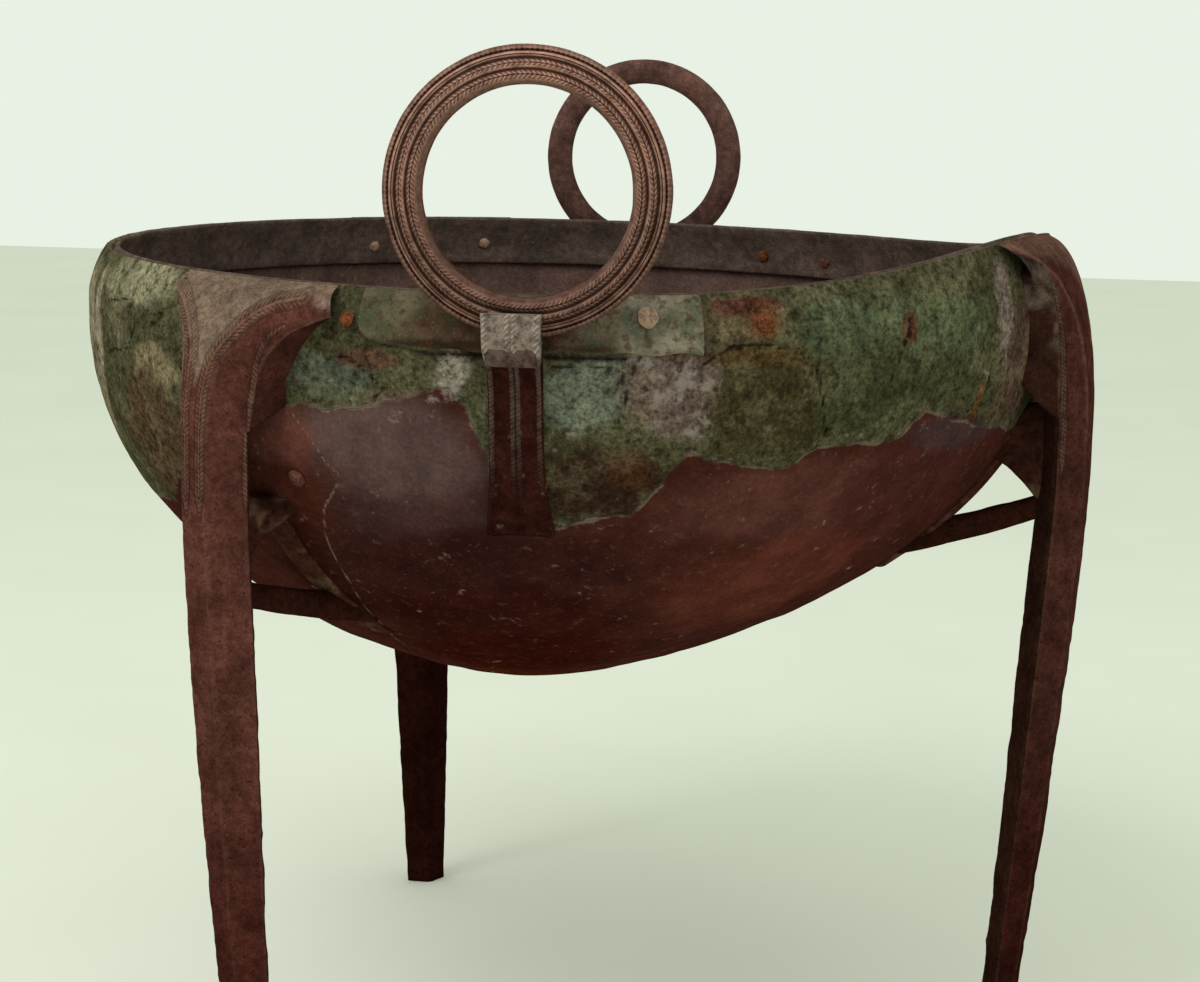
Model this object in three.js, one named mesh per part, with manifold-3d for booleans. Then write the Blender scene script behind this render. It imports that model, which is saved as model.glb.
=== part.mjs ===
// A bronze tripod cauldron: a hammered bowl on three cast legs, with two upright ring handles.
// Millimetres, +Z up, floor at Z = 0. The bowl's axis is the centre that every azimuth is counted
// round: azimuth 0 is the front (-Y), +90 is the right (+X). At the end the whole is moved so that
// the middle of its outer box stands over the origin.
import * as THREE from "three";
import { mergeVertices } from "three/addons/utils/BufferGeometryUtils.js";
import Module from "manifold-3d";

const wasm = await Module();
wasm.setup();

// Clearance between pieces that touch.
const GAP = 0.3;

// Bowl: widest circle, underside, mouth and walls.
const WIDEST_RADIUS = 312;
const WIDEST_HEIGHT = 492;
const UNDERSIDE_HEIGHT = 241;
const MOUTH_RADIUS = 300.4;
const BOWL_WALL = 3;
const LIP_WALL = 4.6;
const BOWL_HEIGHT_POWER = 2.154;
const BOWL_RADIUS_POWER = 1.432;
const BOWL_SIDES = 48;
// Where the bowl's profile has its points: 0 is the underside, 1 the widest circle, 2 the lip.
const BOWL_TURNS = [0, 0.12, 0.24, 0.36, 0.48, 0.6, 0.73, 0.87, 1, 1.5, 2];
// The underside has slumped sideways, away from the right leg.
const SLUMP = { x: -28.8, y: -5.4, power: 1.5 };
// The lip runs a little uneven and is pulled up beside the right leg.
const LIP = { height: 522.6, front: -3.65, right: -3.23, pull: 28, pullAt: 72.7, pullSpread: 34.6 };

// Strip inside the lip.
const BAND_HEIGHT = 35;
const BAND_THICKNESS = 3.4;

// Repair plate on the outside, under the front handle.
const PLATE = { from: -13.9, to: 20.6, foot: 489.5, thickness: 3, corner: 5, cornerRise: 12 };

// Legs: front edge, five-sided section and where the head begins.
const LEG_FRONT_RADIUS = 342.6;
const FOOT_INSET = 36.7;
const LEG_BEND_HEIGHT = 400;
const FOOT_TAPER = 0.42;
const TAPER_HEIGHT = 350;
const HEAD_START = 440;
// The head hooks over from the leg's front edge to the mouth, and its ends stand off the wall.
const HOOK = { end: 298, power: 1.9 };
const HEAD_PLATE = 3;
const HORN_RELIEF = 9;
// Half section of a leg from the middle of its front band to its side edge, with the matching
// back points: u is sideways, d is behind the front edge, s numbers the line.
const LEG_LINES = [
  { s: 0, u: 0, d: 0, backU: 0, backD: 31.2 },
  { s: 0.45, u: 8.3, d: 0.5, backU: 4, backD: 30.5 },
  { s: 0.72, u: 16.5, d: 7, backU: 14, backD: 24 },
  { s: 1, u: 25.4, d: 14.5, backU: 25, backD: 16.5 },
];

// Forked bracket between leg and bowl, for a leg without lift. Heights are where each arm meets
// the leg and the bowl; half widths run from the leg to the bowl.
const LOWER_PRONG = { legHeight: 343, bowlHeight: 312, tall: 7.3, wide: [7, 6, 7, 12] };
const UPPER_PRONG = { legFoot: 352, legTop: 397, bowlFoot: 383, bowlTop: 398, narrow: 9, wide: 42 };
const SEAT = { width: 9, thickness: 4 };

// Ring handles: radius, depth and the carved steps of the front face.
const RING_HEIGHT = 574.5;
const RING_OUT = 326.5;
const RING_RADIUS = 75.5;
const FRONT_RING_HOLE = 55;
const BACK_RING_HOLE = 57;
const RING_SIDES = 32;
// A ring's faces from its rim (0) to its hole (1), with the depth in front of or behind its middle.
const RIBBED_FACE = [
  [0, 2], [0.07, 4.2], [0.15, 3.2], [0.24, 5.4], [0.34, 4.4], [0.5, 8], [0.64, 6.6], [0.77, 8.6], [1, 1.5],
];
const PLAIN_FACE = [[0, 2], [0.2, 6], [0.6, 8], [1, 1.5]];
const RING_BACK = [[1, -4], [0.8, -8], [0.4, -9.5], [0, -5]];

// Straps that hold the rings.
const STRAP = { top: 512, foot: 387, topWidth: 32, waistWidth: 29.5, footWidth: 38, thickness: 5 };

const HANDLES = [
  { place: "front", azimuth: 3.4, strapAzimuth: 2.3, hole: FRONT_RING_HOLE, face: RIBBED_FACE },
  { place: "back", azimuth: 179, strapAzimuth: 179.6, hole: BACK_RING_HOLE, face: PLAIN_FACE },
];

// Each side of a head fans out to a corner at the lip and a horn below it; broken sides stop short.
const WHOLE = { corner: 66, tip: 71 };
const BROKEN_LEFT = { corner: 50, tip: 38 };
const BROKEN_RIGHT = { corner: 70, tip: 50 };
const LEGS = [
  { place: "front_left", azimuth: -29.2, lift: 0, left: BROKEN_LEFT, right: WHOLE },
  { place: "right", azimuth: 74.5, lift: 38, left: BROKEN_RIGHT, right: WHOLE },
  { place: "back", azimuth: 210, lift: 12, left: WHOLE, right: WHOLE },
];

// Rivets: where each goes through the wall, its outer and inner head radius and what it passes.
const SHANK_RADIUS = 2.4;
const RIVET_SIDES = 6;
const RIVETS = [
  { name: "rivet_iron_left", azimuth: -15.05, height: 503, head: 4.2, dome: 2, metal: "iron" },
  { name: "rivet_copper_plate", azimuth: 15.1, height: 509, head: 5.6, dome: 1.4, metal: "copper", onPlate: true },
  { name: "rivet_iron_right", azimuth: 27.2, height: 506, head: 5.2, dome: 2, metal: "iron" },
  { name: "rivet_dome_low", azimuth: -23.3, height: 410, head: 5, dome: 4, metal: "bronze" },
  { name: "rivet_leg_back_left", azimuth: -141.3, height: 505, head: 5, metal: "copper", underLeg: true },
  { name: "rivet_leg_back_right", azimuth: -158.2, height: 507, head: 5, metal: "copper", underLeg: true },
  { name: "rivet_back_iron", azimuth: 159.9, height: 503, head: 5.5, dome: 2, metal: "iron" },
  { name: "rivet_back_right", azimuth: 149.9, height: 501, head: 5, dome: 2, metal: "bronze" },
];

const FINISHES = {
  bowl: { color: 0x4d3f33, roughness: 0.6, metalness: 0.6 },
  band: { color: 0x3c302c, roughness: 0.65, metalness: 0.6 },
  plate: { color: 0x4c5a49, roughness: 0.75, metalness: 0.4 },
  leg: { color: 0x40292a, roughness: 0.5, metalness: 0.7 },
  ring: { color: 0x53352e, roughness: 0.5, metalness: 0.7 },
  strap: { color: 0x4a302b, roughness: 0.5, metalness: 0.7 },
  iron: { color: 0x8a4a26, roughness: 0.9, metalness: 0.2 },
  copper: { color: 0x8d5a44, roughness: 0.6, metalness: 0.6 },
  bronze: { color: 0x4a3029, roughness: 0.6, metalness: 0.7 },
};

const radians = THREE.MathUtils.degToRad;
const clamp = THREE.MathUtils.clamp;
const lerp = THREE.MathUtils.lerp;

// Height of the lip's top edge at an azimuth in degrees.
function lipHeight(azimuth) {
  const away = (((azimuth - LIP.pullAt + 540) % 360) - 180) / LIP.pullSpread;
  const wave = LIP.front * Math.cos(radians(azimuth)) + LIP.right * Math.sin(radians(azimuth));
  return LIP.height + wave + LIP.pull * Math.exp(-away * away);
}

// Point at a sideways, outward and upward distance in the upright plane of an azimuth.
function polarPoint(azimuth, radius, z, sideways = 0) {
  const a = radians(azimuth);
  return new THREE.Vector3(
    radius * Math.sin(a) + sideways * Math.cos(a),
    -radius * Math.cos(a) + sideways * Math.sin(a),
    z,
  );
}

// Radius of the bowl's outer face at an azimuth and a height.
function wallRadius(azimuth, z) {
  const a = radians(azimuth);
  if (z >= WIDEST_HEIGHT) {
    const rise = (z - WIDEST_HEIGHT) / (lipHeight(azimuth) - WIDEST_HEIGHT);
    return WIDEST_RADIUS - (WIDEST_RADIUS - MOUTH_RADIUS) * rise * rise;
  }
  const drop = clamp((WIDEST_HEIGHT - z) / (WIDEST_HEIGHT - UNDERSIDE_HEIGHT), 0, 1);
  const round = (1 - drop ** BOWL_HEIGHT_POWER) ** (1 / BOWL_RADIUS_POWER);
  const slump = (SLUMP.x * Math.sin(a) - SLUMP.y * Math.cos(a)) * drop ** SLUMP.power;
  return WIDEST_RADIUS * round + slump;
}

// Bowl profile: turn 0 is the underside, 1 the widest circle and 2 the lip, moved out along its normal.
function profilePoint(turn, offset) {
  const at = (t) => {
    if (t > 1) return [WIDEST_RADIUS - (WIDEST_RADIUS - MOUTH_RADIUS) * (t - 1) ** 2, t - 1];
    const angle = (t * Math.PI) / 2;
    const drop = Math.cos(angle) ** (2 / BOWL_HEIGHT_POWER);
    return [WIDEST_RADIUS * Math.sin(angle) ** (2 / BOWL_RADIUS_POWER), -drop];
  };
  const height = (v) => (v > 0 ? v * (LIP.height - WIDEST_HEIGHT) : v * (WIDEST_HEIGHT - UNDERSIDE_HEIGHT));
  const step = 0.002;
  const [r, v] = at(turn);
  const before = at(Math.max(turn - step, 0));
  const after = at(turn + step);
  const along = new THREE.Vector2(after[0] - before[0], height(after[1]) - height(before[1])).normalize();
  if (turn === 0) along.set(1, 0);
  return [Math.max(r + offset * along.y, 0), height(v) - offset * along.x];
}

// Point of the bowl's skin, slumped below the widest circle and waved above it.
function skinPoint(azimuth, turn, offset) {
  const [r, rise] = profilePoint(turn, offset);
  if (rise > 0) {
    const stretch = (lipHeight(azimuth) - WIDEST_HEIGHT) / (LIP.height - WIDEST_HEIGHT);
    return polarPoint(azimuth, r, WIDEST_HEIGHT + rise * stretch);
  }
  const drop = clamp(-rise / (WIDEST_HEIGHT - UNDERSIDE_HEIGHT), 0, 1) ** SLUMP.power;
  return polarPoint(azimuth, r, WIDEST_HEIGHT + rise).add(new THREE.Vector3(SLUMP.x * drop, SLUMP.y * drop, 0));
}

// Closed mesh from rings of points. Each end is a single point, is joined across in pairs, or meets the other end.
function ringsGeometry(rings, ends) {
  const points = [];
  const faces = [];
  const size = Math.max(...rings.map((ring) => ring.length));
  rings.forEach((ring) => {
    for (let i = 0; i < size; i++) points.push(ring.length === 1 ? ring[0] : ring[i]);
  });
  const quad = (a, b, c, d) => faces.push([a, b, c], [a, c, d]);
  const bands = ends === "loop" ? rings.length : rings.length - 1;
  for (let j = 0; j < bands; j++) {
    const next = ((j + 1) % rings.length) * size;
    for (let i = 0; i < size; i++) {
      const k = (i + 1) % size;
      quad(j * size + i, j * size + k, next + k, next + i);
    }
  }
  if (ends === "paired") {
    const last = (rings.length - 1) * size;
    for (let i = 0; i < size / 2 - 1; i++) {
      const mirror = size - 1 - i;
      quad(i, mirror, mirror - 1, i + 1);
      quad(last + i, last + i + 1, last + mirror - 1, last + mirror);
    }
  }
  const positions = [];
  for (const face of faces) {
    const corners = face.map((i) => points[i]);
    const [a, b, c] = corners;
    if (a.distanceTo(b) < 1e-4 || b.distanceTo(c) < 1e-4 || c.distanceTo(a) < 1e-4) continue;
    corners.forEach((p) => positions.push(p.x, p.y, p.z));
  }
  return new THREE.BufferGeometry().setAttribute("position", new THREE.Float32BufferAttribute(positions, 3));
}

function solidOf(geometry) {
  const bare = geometry.clone();
  bare.deleteAttribute("normal");
  bare.deleteAttribute("uv");
  const merged = mergeVertices(bare, 1e-3);
  const solid = new wasm.Manifold(
    new wasm.Mesh({
      numProp: 3,
      vertProperties: new Float32Array(merged.attributes.position.array),
      triVerts: new Uint32Array(merged.index.array),
    }),
  );
  return solid;
}

function meshOf(name, finish, solid) {
  const { vertProperties, triVerts } = solid.getMesh();
  const geometry = new THREE.BufferGeometry();
  geometry.setAttribute("position", new THREE.Float32BufferAttribute(vertProperties, 3));
  geometry.setIndex(Array.from(triVerts));
  const mesh = new THREE.Mesh(geometry, new THREE.MeshStandardMaterial(FINISHES[finish]));
  mesh.name = name;
  return mesh;
}

// Evenly spaced values from a to b.
function steps(a, b, count) {
  return Array.from({ length: count + 1 }, (_, i) => lerp(a, b, i / count));
}

// Ring of the bowl's skin all the way round.
function skinRing(turn, offset) {
  return steps(0, 360, BOWL_SIDES)
    .slice(0, -1)
    .map((azimuth) => skinPoint(azimuth, turn, offset));
}

// Bowl: up the outside from the underside, over the lip and down the inside.
function bowlSolid() {
  const outside = BOWL_TURNS;
  const wall = (turn) => lerp(BOWL_WALL, LIP_WALL, clamp((turn - 0.9) / 1.1, 0, 1));
  const inside = outside.slice().reverse();
  const rings = [
    [skinPoint(0, 0, 0)],
    ...outside.slice(1).map((turn) => skinRing(turn, 0)),
    ...inside.slice(0, -1).map((turn) => skinRing(turn, -wall(turn))),
    [skinPoint(0, 0, -BOWL_WALL)],
  ];
  return solidOf(ringsGeometry(rings, "points"));
}

// The filled space of the bowl, grown by the gap, that pieces on its outside are cut back from.
function bowlSpace() {
  const turns = [...BOWL_TURNS.slice(1), 2.3];
  const rings = [[skinPoint(0, 0, GAP)], ...turns.map((turn) => skinRing(turn, GAP)), [new THREE.Vector3(0, 0, 560)]];
  return solidOf(ringsGeometry(rings, "points"));
}

// Turn of the profile at which the skin has a height below the lip.
function turnAt(azimuth, z) {
  if (z > WIDEST_HEIGHT) return 1 + (z - WIDEST_HEIGHT) / (lipHeight(azimuth) - WIDEST_HEIGHT);
  const drop = (WIDEST_HEIGHT - z) / (WIDEST_HEIGHT - UNDERSIDE_HEIGHT);
  return (Math.acos(drop ** (BOWL_HEIGHT_POWER / 2)) * 2) / Math.PI;
}

// Strip inside the lip, following the wall.
function bandSolid() {
  const outer = -LIP_WALL - GAP;
  const section = (azimuth) => {
    const foot = turnAt(azimuth, lipHeight(azimuth) - BAND_HEIGHT);
    const turns = [2, lerp(2, foot, 0.5), foot];
    return [
      ...turns.map((turn) => skinPoint(azimuth, turn, outer)),
      ...turns.reverse().map((turn) => skinPoint(azimuth, turn, outer - BAND_THICKNESS)),
    ];
  };
  const rings = steps(0, 360, BOWL_SIDES).slice(0, -1).map(section);
  return solidOf(ringsGeometry(rings, "loop"));
}

// Repair plate: a strip of sheet with one rounded lower corner, from its foot up to the lip.
function plateSolid(grow = 0) {
  const outer = PLATE.thickness + GAP + grow;
  const section = (azimuth) => {
    const round = clamp((PLATE.from + PLATE.corner - azimuth) / PLATE.corner, 0, 1);
    const foot = PLATE.foot + PLATE.cornerRise * (1 - Math.sqrt(1 - round * round)) - grow;
    const heights = steps(foot, lipHeight(azimuth) + grow, 3);
    return [
      ...heights.map((z) => polarPoint(azimuth, wallRadius(azimuth, z) - 2, z)),
      ...heights.reverse().map((z) => polarPoint(azimuth, wallRadius(azimuth, z) + outer, z)),
    ];
  };
  const reach = grow / WIDEST_RADIUS;
  const rings = steps(PLATE.from - THREE.MathUtils.radToDeg(reach), PLATE.to, 12).map(section);
  return solidOf(ringsGeometry(rings, "paired"));
}

// Front edge of a leg from the bowl's axis, and how much of its full section is left, at a height.
function legFront(z) {
  return LEG_FRONT_RADIUS - FOOT_INSET * clamp(1 - z / LEG_BEND_HEIGHT, 0, 1) ** 1.3;
}

function legSize(z) {
  return 1 - FOOT_TAPER * clamp(1 - z / TAPER_HEIGHT, 0, 1) ** 1.6;
}

function shaftRing(leg, z) {
  const size = legSize(z);
  const at = (side, u, d) => polarPoint(leg.azimuth, legFront(z) - d * size, z, side * u * size);
  const right = LEG_LINES.slice(1);
  const left = right.slice().reverse();
  return [
    ...left.map((line) => at(-1, line.u, line.d)),
    at(1, LEG_LINES[0].u, LEG_LINES[0].d),
    ...right.map((line) => at(1, line.u, line.d)),
    ...left.map((line) => at(1, line.backU, line.backD)),
    at(1, LEG_LINES[0].backU, LEG_LINES[0].backD),
    ...right.map((line) => at(-1, line.backU, line.backD)),
  ];
}

function bezier(t, a, b, c, d) {
  const r = 1 - t;
  return r * r * r * a + 3 * r * r * t * b + 3 * r * t * t * c + t * t * t * d;
}

// Point on the head at sideways distance u, height fraction w (0 at the head's start, 1 at the lip), standing off the wall.
function headPoint(leg, u, w, relief) {
  const azimuth = leg.azimuth + THREE.MathUtils.radToDeg(u / WIDEST_RADIUS);
  const z = lerp(HEAD_START, lipHeight(azimuth), w);
  return polarPoint(azimuth, wallRadius(azimuth, z) + relief, z);
}

// One line of the head's front: it leaves the shaft upright and fans out to the lip or the horn's tip.
function headFront(leg, side, line, t) {
  const reach = side < 0 ? leg.left : leg.right;
  const fan = clamp(line.s / 0.45, 0, 1);
  const drop = clamp((line.s - 0.45) / 0.55, 0, 1);
  const endU = lerp(reach.corner * fan, reach.tip, drop);
  const u = bezier(t, line.u, line.u, lerp(30 * fan, 0.53 * reach.tip, drop), endU);
  const w = bezier(
    t,
    0,
    lerp(lerp(0.37, 0.7, fan), 0.42, drop),
    lerp(lerp(0.74, 0.89, fan), 0.67, drop),
    lerp(1, 0.8, drop),
  );
  const hook = (1 - w ** HOOK.power) ** (1 / HOOK.power);
  const front = HOOK.end + (LEG_FRONT_RADIUS - HOOK.end) * hook;
  const wall = wallRadius(leg.azimuth, lerp(HEAD_START, lipHeight(leg.azimuth), w));
  const crown = Math.max(lerp(front - wall, HORN_RELIEF, drop * t * t), HEAD_PLATE);
  const settle = 1 - THREE.MathUtils.smoothstep(t, 0, 0.8);
  return headPoint(leg, side * u, w, Math.max(crown - line.d * settle, HEAD_PLATE));
}

// The matching line behind: it leaves the shaft's back and spreads at once onto the bowl.
function headBack(leg, side, line, t) {
  const reach = side < 0 ? leg.left : leg.right;
  const settle = THREE.MathUtils.smoothstep(t, 0, 0.14);
  const footU = lerp(39, reach.tip - 3, t ** 2.3) * line.s;
  const footW = lerp(0.1 + 0.88 * t, 0.14 + 0.66 * t ** 1.1, line.s);
  const u = lerp(line.backU, footU, settle);
  const start = LEG_FRONT_RADIUS - line.backD - wallRadius(leg.azimuth, HEAD_START);
  return headPoint(leg, side * u, footW * THREE.MathUtils.smoothstep(t, 0, 0.14), lerp(start, -2, settle));
}

function headRing(leg, t) {
  const right = LEG_LINES.slice(1);
  const left = right.slice().reverse();
  return [
    ...left.map((line) => headFront(leg, -1, line, t)),
    headFront(leg, 1, LEG_LINES[0], t),
    ...right.map((line) => headFront(leg, 1, line, t)),
    ...left.map((line) => headBack(leg, 1, line, t)),
    headBack(leg, 1, LEG_LINES[0], t),
    ...right.map((line) => headBack(leg, -1, line, t)),
  ];
}

// Lower arm of the bracket: an eight-sided bar, broader where it meets the bowl.
function lowerProngSolid(leg) {
  const legZ = LOWER_PRONG.legHeight + leg.lift;
  const bowlZ = LOWER_PRONG.bowlHeight + leg.lift * 0.9;
  const from = new THREE.Vector2(legFront(legZ) - 28, legZ);
  const to = new THREE.Vector2(wallRadius(leg.azimuth, bowlZ) - 8, bowlZ);
  const along = to.clone().sub(from).normalize();
  const rings = LOWER_PRONG.wide.map((wide, i) => {
    const place = from.clone().lerp(to, i / (LOWER_PRONG.wide.length - 1));
    return steps(2 * Math.PI, 0, 8).slice(0, -1).map((turn) => {
      const across = LOWER_PRONG.tall * Math.sin(turn + Math.PI / 8);
      const sideways = wide * Math.cos(turn + Math.PI / 8);
      return polarPoint(leg.azimuth, place.x + along.y * across, place.y - along.x * across, sideways);
    });
  });
  return solidOf(ringsGeometry(rings, "paired"));
}

// Upper arm: a thick web that spreads like a fan onto the bowl.
function upperProngSolid(leg) {
  const legRadius = LEG_FRONT_RADIUS - 26;
  const bowlFoot = UPPER_PRONG.bowlFoot + leg.lift * 0.68;
  const bowlTop = UPPER_PRONG.bowlTop + leg.lift;
  const bowlRadius = wallRadius(leg.azimuth, bowlFoot) - 9;
  const rings = [0, 0.35, 0.6, 0.8, 1].map((part) => {
    const radius = lerp(legRadius, bowlRadius, part);
    const foot = lerp(UPPER_PRONG.legFoot + leg.lift, bowlFoot, part);
    const top = lerp(UPPER_PRONG.legTop + leg.lift, bowlTop, part);
    const low = lerp(UPPER_PRONG.narrow, UPPER_PRONG.narrow * 1.6, part);
    const high = lerp(UPPER_PRONG.narrow, UPPER_PRONG.wide, part * part);
    const side = [[low * 0.6, foot], [low, foot + 4], [high, top - 4], [high * 0.75, top]];
    const across = side.map(([u, z]) => polarPoint(leg.azimuth, radius, z, -u));
    return [...across, ...side.reverse().map(([u, z]) => polarPoint(leg.azimuth, radius, z, u))];
  });
  return solidOf(ringsGeometry(rings, "paired"));
}

// Strip along the bowl that both arms stand on.
function seatSolid(leg) {
  const foot = LOWER_PRONG.bowlHeight + leg.lift * 0.9 - 12;
  const top = UPPER_PRONG.bowlFoot + leg.lift * 0.68 + 10;
  const rings = steps(foot, top, 6).map((z) => {
    const wall = wallRadius(leg.azimuth, z);
    const outline = [[-1, -6], [-1, 0.4], [-0.6, 1], [0.6, 1], [1, 0.4], [1, -6]];
    return outline.map(([side, out]) => {
      const stand = out < 0 ? out : out * SEAT.thickness;
      return polarPoint(leg.azimuth, wall + stand, z, side * SEAT.width);
    });
  });
  return solidOf(ringsGeometry(rings, "paired"));
}

// A leg is one casting: tapering shaft, horned head and forked bracket.
function legSolid(leg) {
  const rings = [
    ...[0, 90, 180, 260, 330, 400].map((z) => shaftRing(leg, z)),
    ...[0, 0.07, 0.14, 0.28, 0.44, 0.6, 0.76, 0.9, 1].map((t) => headRing(leg, t)),
  ];
  return solidOf(ringsGeometry(rings, "paired"))
    .add(lowerProngSolid(leg))
    .add(upperProngSolid(leg))
    .add(seatSolid(leg));
}

// Closed outline of a ring's section: radius against depth, the outer face first, moved out by grow.
function ringSection(handle, grow) {
  const width = RING_RADIUS - handle.hole;
  const points = [...handle.face, ...RING_BACK].map(
    ([across, depth]) => new THREE.Vector2(RING_RADIUS - across * width, depth),
  );
  return points.map((point, i) => {
    const before = points[(i + points.length - 1) % points.length];
    const after = points[(i + 1) % points.length];
    const along = after.clone().sub(before).setLength(grow);
    return new THREE.Vector2(point.x + along.y, point.y - along.x);
  });
}

function ringSolid(handle, grow = 0) {
  const section = ringSection(handle, grow);
  const lathe = new THREE.LatheGeometry([...section, section[0]], RING_SIDES);
  lathe.rotateX(Math.PI);
  lathe.translate(0, -RING_OUT, RING_HEIGHT);
  lathe.rotateZ(radians(handle.azimuth));
  return solidOf(lathe);
}

// A strap's centre route (radius of its inner face, height, width), over the ring's foot and down the wall.
function strapRoute(handle) {
  const lift = handle.place === "front" ? PLATE.thickness + GAP : 0;
  const wall = (z) => wallRadius(handle.strapAzimuth, z);
  const out = RING_OUT + 9;
  const down = [468, 446, 426, 406, STRAP.foot].map((z) => ({
    r: wall(z) - 1,
    z,
    width: lerp(STRAP.waistWidth, STRAP.footWidth, clamp((440 - z) / (440 - STRAP.foot), 0, 1) ** 2),
  }));
  return [
    { r: out, z: STRAP.top, width: STRAP.topWidth },
    { r: out, z: 504, width: STRAP.topWidth - 1 },
    { r: out - 2, z: 494, width: STRAP.topWidth - 1 },
    { r: wall(484) + lift + 2, z: 482, width: STRAP.waistWidth },
    ...down,
  ];
}

// A strap: a flat bar with raised edges, and a lug behind the ring, cast round the ring's foot.
function strapSolid(handle) {
  const route = strapRoute(handle);
  const rings = route.map((stop, i) => {
    const before = route[Math.max(i - 1, 0)];
    const after = route[Math.min(i + 1, route.length - 1)];
    const along = new THREE.Vector2(after.r - before.r, after.z - before.z).normalize();
    if (i === 0) along.set(0, -1);
    const half = stop.width / 2;
    const at = (sideways, height) =>
      polarPoint(handle.strapAzimuth, stop.r - along.y * height, stop.z + along.x * height, sideways);
    const low = STRAP.thickness - 1.3;
    const top = STRAP.thickness;
    const crest = [[-half, top], [-half + 4, top], [-half + 5.5, low]];
    const mirrored = crest.map(([u, height]) => [-u, height]).reverse();
    const foot = [[half, -4], [half - 4, -4], [half - 5.5, -4]];
    const footMirrored = foot.map(([u, height]) => [-u, height]).reverse();
    return [...crest, ...mirrored, ...foot, ...footMirrored].map(([u, height]) => at(u, height));
  });
  const lug = [STRAP.top - 2, 503, 494, 484].map((z) => {
    const inner = wallRadius(handle.strapAzimuth, z) - 1;
    const outer = RING_OUT + 10;
    const half = STRAP.topWidth / 2 - 2;
    return [
      polarPoint(handle.strapAzimuth, outer, z, -half),
      polarPoint(handle.strapAzimuth, outer, z, half),
      polarPoint(handle.strapAzimuth, inner, z, half),
      polarPoint(handle.strapAzimuth, inner, z, -half),
    ];
  });
  return solidOf(ringsGeometry(rings.reverse(), "paired")).add(solidOf(ringsGeometry(lug.reverse(), "paired")));
}

// A rivet: outer head, shank through the wall and hammered inner head, turned about its own axis.
// One under a leg's head shows only its inner head and ends inside the wall.
function rivetGeometry(rivet, grow) {
  const outer = (rivet.onPlate ? PLATE.thickness + GAP : 0) + GAP;
  const banded = rivet.height > WIDEST_HEIGHT;
  const facet = WIDEST_RADIUS * (1 - Math.cos(Math.PI / BOWL_SIDES));
  const through = banded ? LIP_WALL + GAP + BAND_THICKNESS : 2 * BOWL_WALL;
  const inner = -through - facet - 4 * GAP;
  const shank = SHANK_RADIUS + grow;
  const plug = [[0, inner - 12], [shank, inner - 12], [shank, outer + 12], [0, outer + 12]];
  const innerHead = [[0, inner - 1.6], [rivet.head * 0.7, inner - 1], [rivet.head * 0.8, inner], [shank, inner]];
  const outerHead = [
    [shank, outer],
    [rivet.head, outer],
    [rivet.head * 0.75, outer + rivet.dome * 0.7],
    [0, outer + rivet.dome],
  ];
  const blindEnd = [[shank, -facet - 2 * GAP], [0, -facet - 2 * GAP]];
  const body = [...innerHead, ...(rivet.underLeg ? blindEnd : outerHead)];
  const outline = (grow ? plug : body).map(([r, y]) => new THREE.Vector2(r, y));
  const lathe = new THREE.LatheGeometry(outline, RIVET_SIDES);
  lathe.rotateX(Math.PI);
  const lean = (wallRadius(rivet.azimuth, rivet.height + 4) - wallRadius(rivet.azimuth, rivet.height - 4)) / 8;
  lathe.rotateX(Math.atan(lean));
  lathe.translate(0, -wallRadius(rivet.azimuth, rivet.height), rivet.height);
  lathe.rotateZ(radians(rivet.azimuth));
  return lathe;
}

const bores = RIVETS.map((rivet) => solidOf(rivetGeometry(rivet, GAP)));
const cutBores = (solid) => bores.reduce((rest, bore) => rest.subtract(bore), solid);

const space = bowlSpace();
const cauldron = new THREE.Group();
cauldron.add(meshOf("bowl", "bowl", cutBores(bowlSolid())));
cauldron.add(meshOf("inner_rim_band", "band", cutBores(bandSolid())));
cauldron.add(meshOf("repair_plate", "plate", cutBores(plateSolid().subtract(space))));
for (const leg of LEGS) {
  cauldron.add(meshOf("leg_" + leg.place, "leg", legSolid(leg).subtract(space)));
}
for (const handle of HANDLES) {
  let strap = strapSolid(handle).subtract(space).subtract(ringSolid(handle, 2 * GAP));
  if (handle.place === "front") strap = strap.subtract(plateSolid(GAP));
  cauldron.add(meshOf("ring_handle_" + handle.place, "ring", ringSolid(handle)));
  cauldron.add(meshOf("handle_strap_" + handle.place, "strap", strap));
}
for (const rivet of RIVETS) {
  cauldron.add(meshOf(rivet.name, rivet.metal, solidOf(rivetGeometry(rivet, 0))));
}

// The middle of the outer box goes over the origin.
const middle = new THREE.Box3().setFromObject(cauldron).getCenter(new THREE.Vector3());
cauldron.position.set(-middle.x, -middle.y, 0);

export default cauldron;
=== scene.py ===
"""Looks of the bronze tripod cauldron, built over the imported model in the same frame.

Shapes are worked out in millimetres: azimuth in degrees round the bowl's axis, 0 at the front (-Y) and
90 on the right (+X), with height above the floor. They become metres when a mesh is made.
"""

from math import cos, pi, radians, sin

import bpy
import numpy as np
from mathutils import Matrix, Vector


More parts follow.
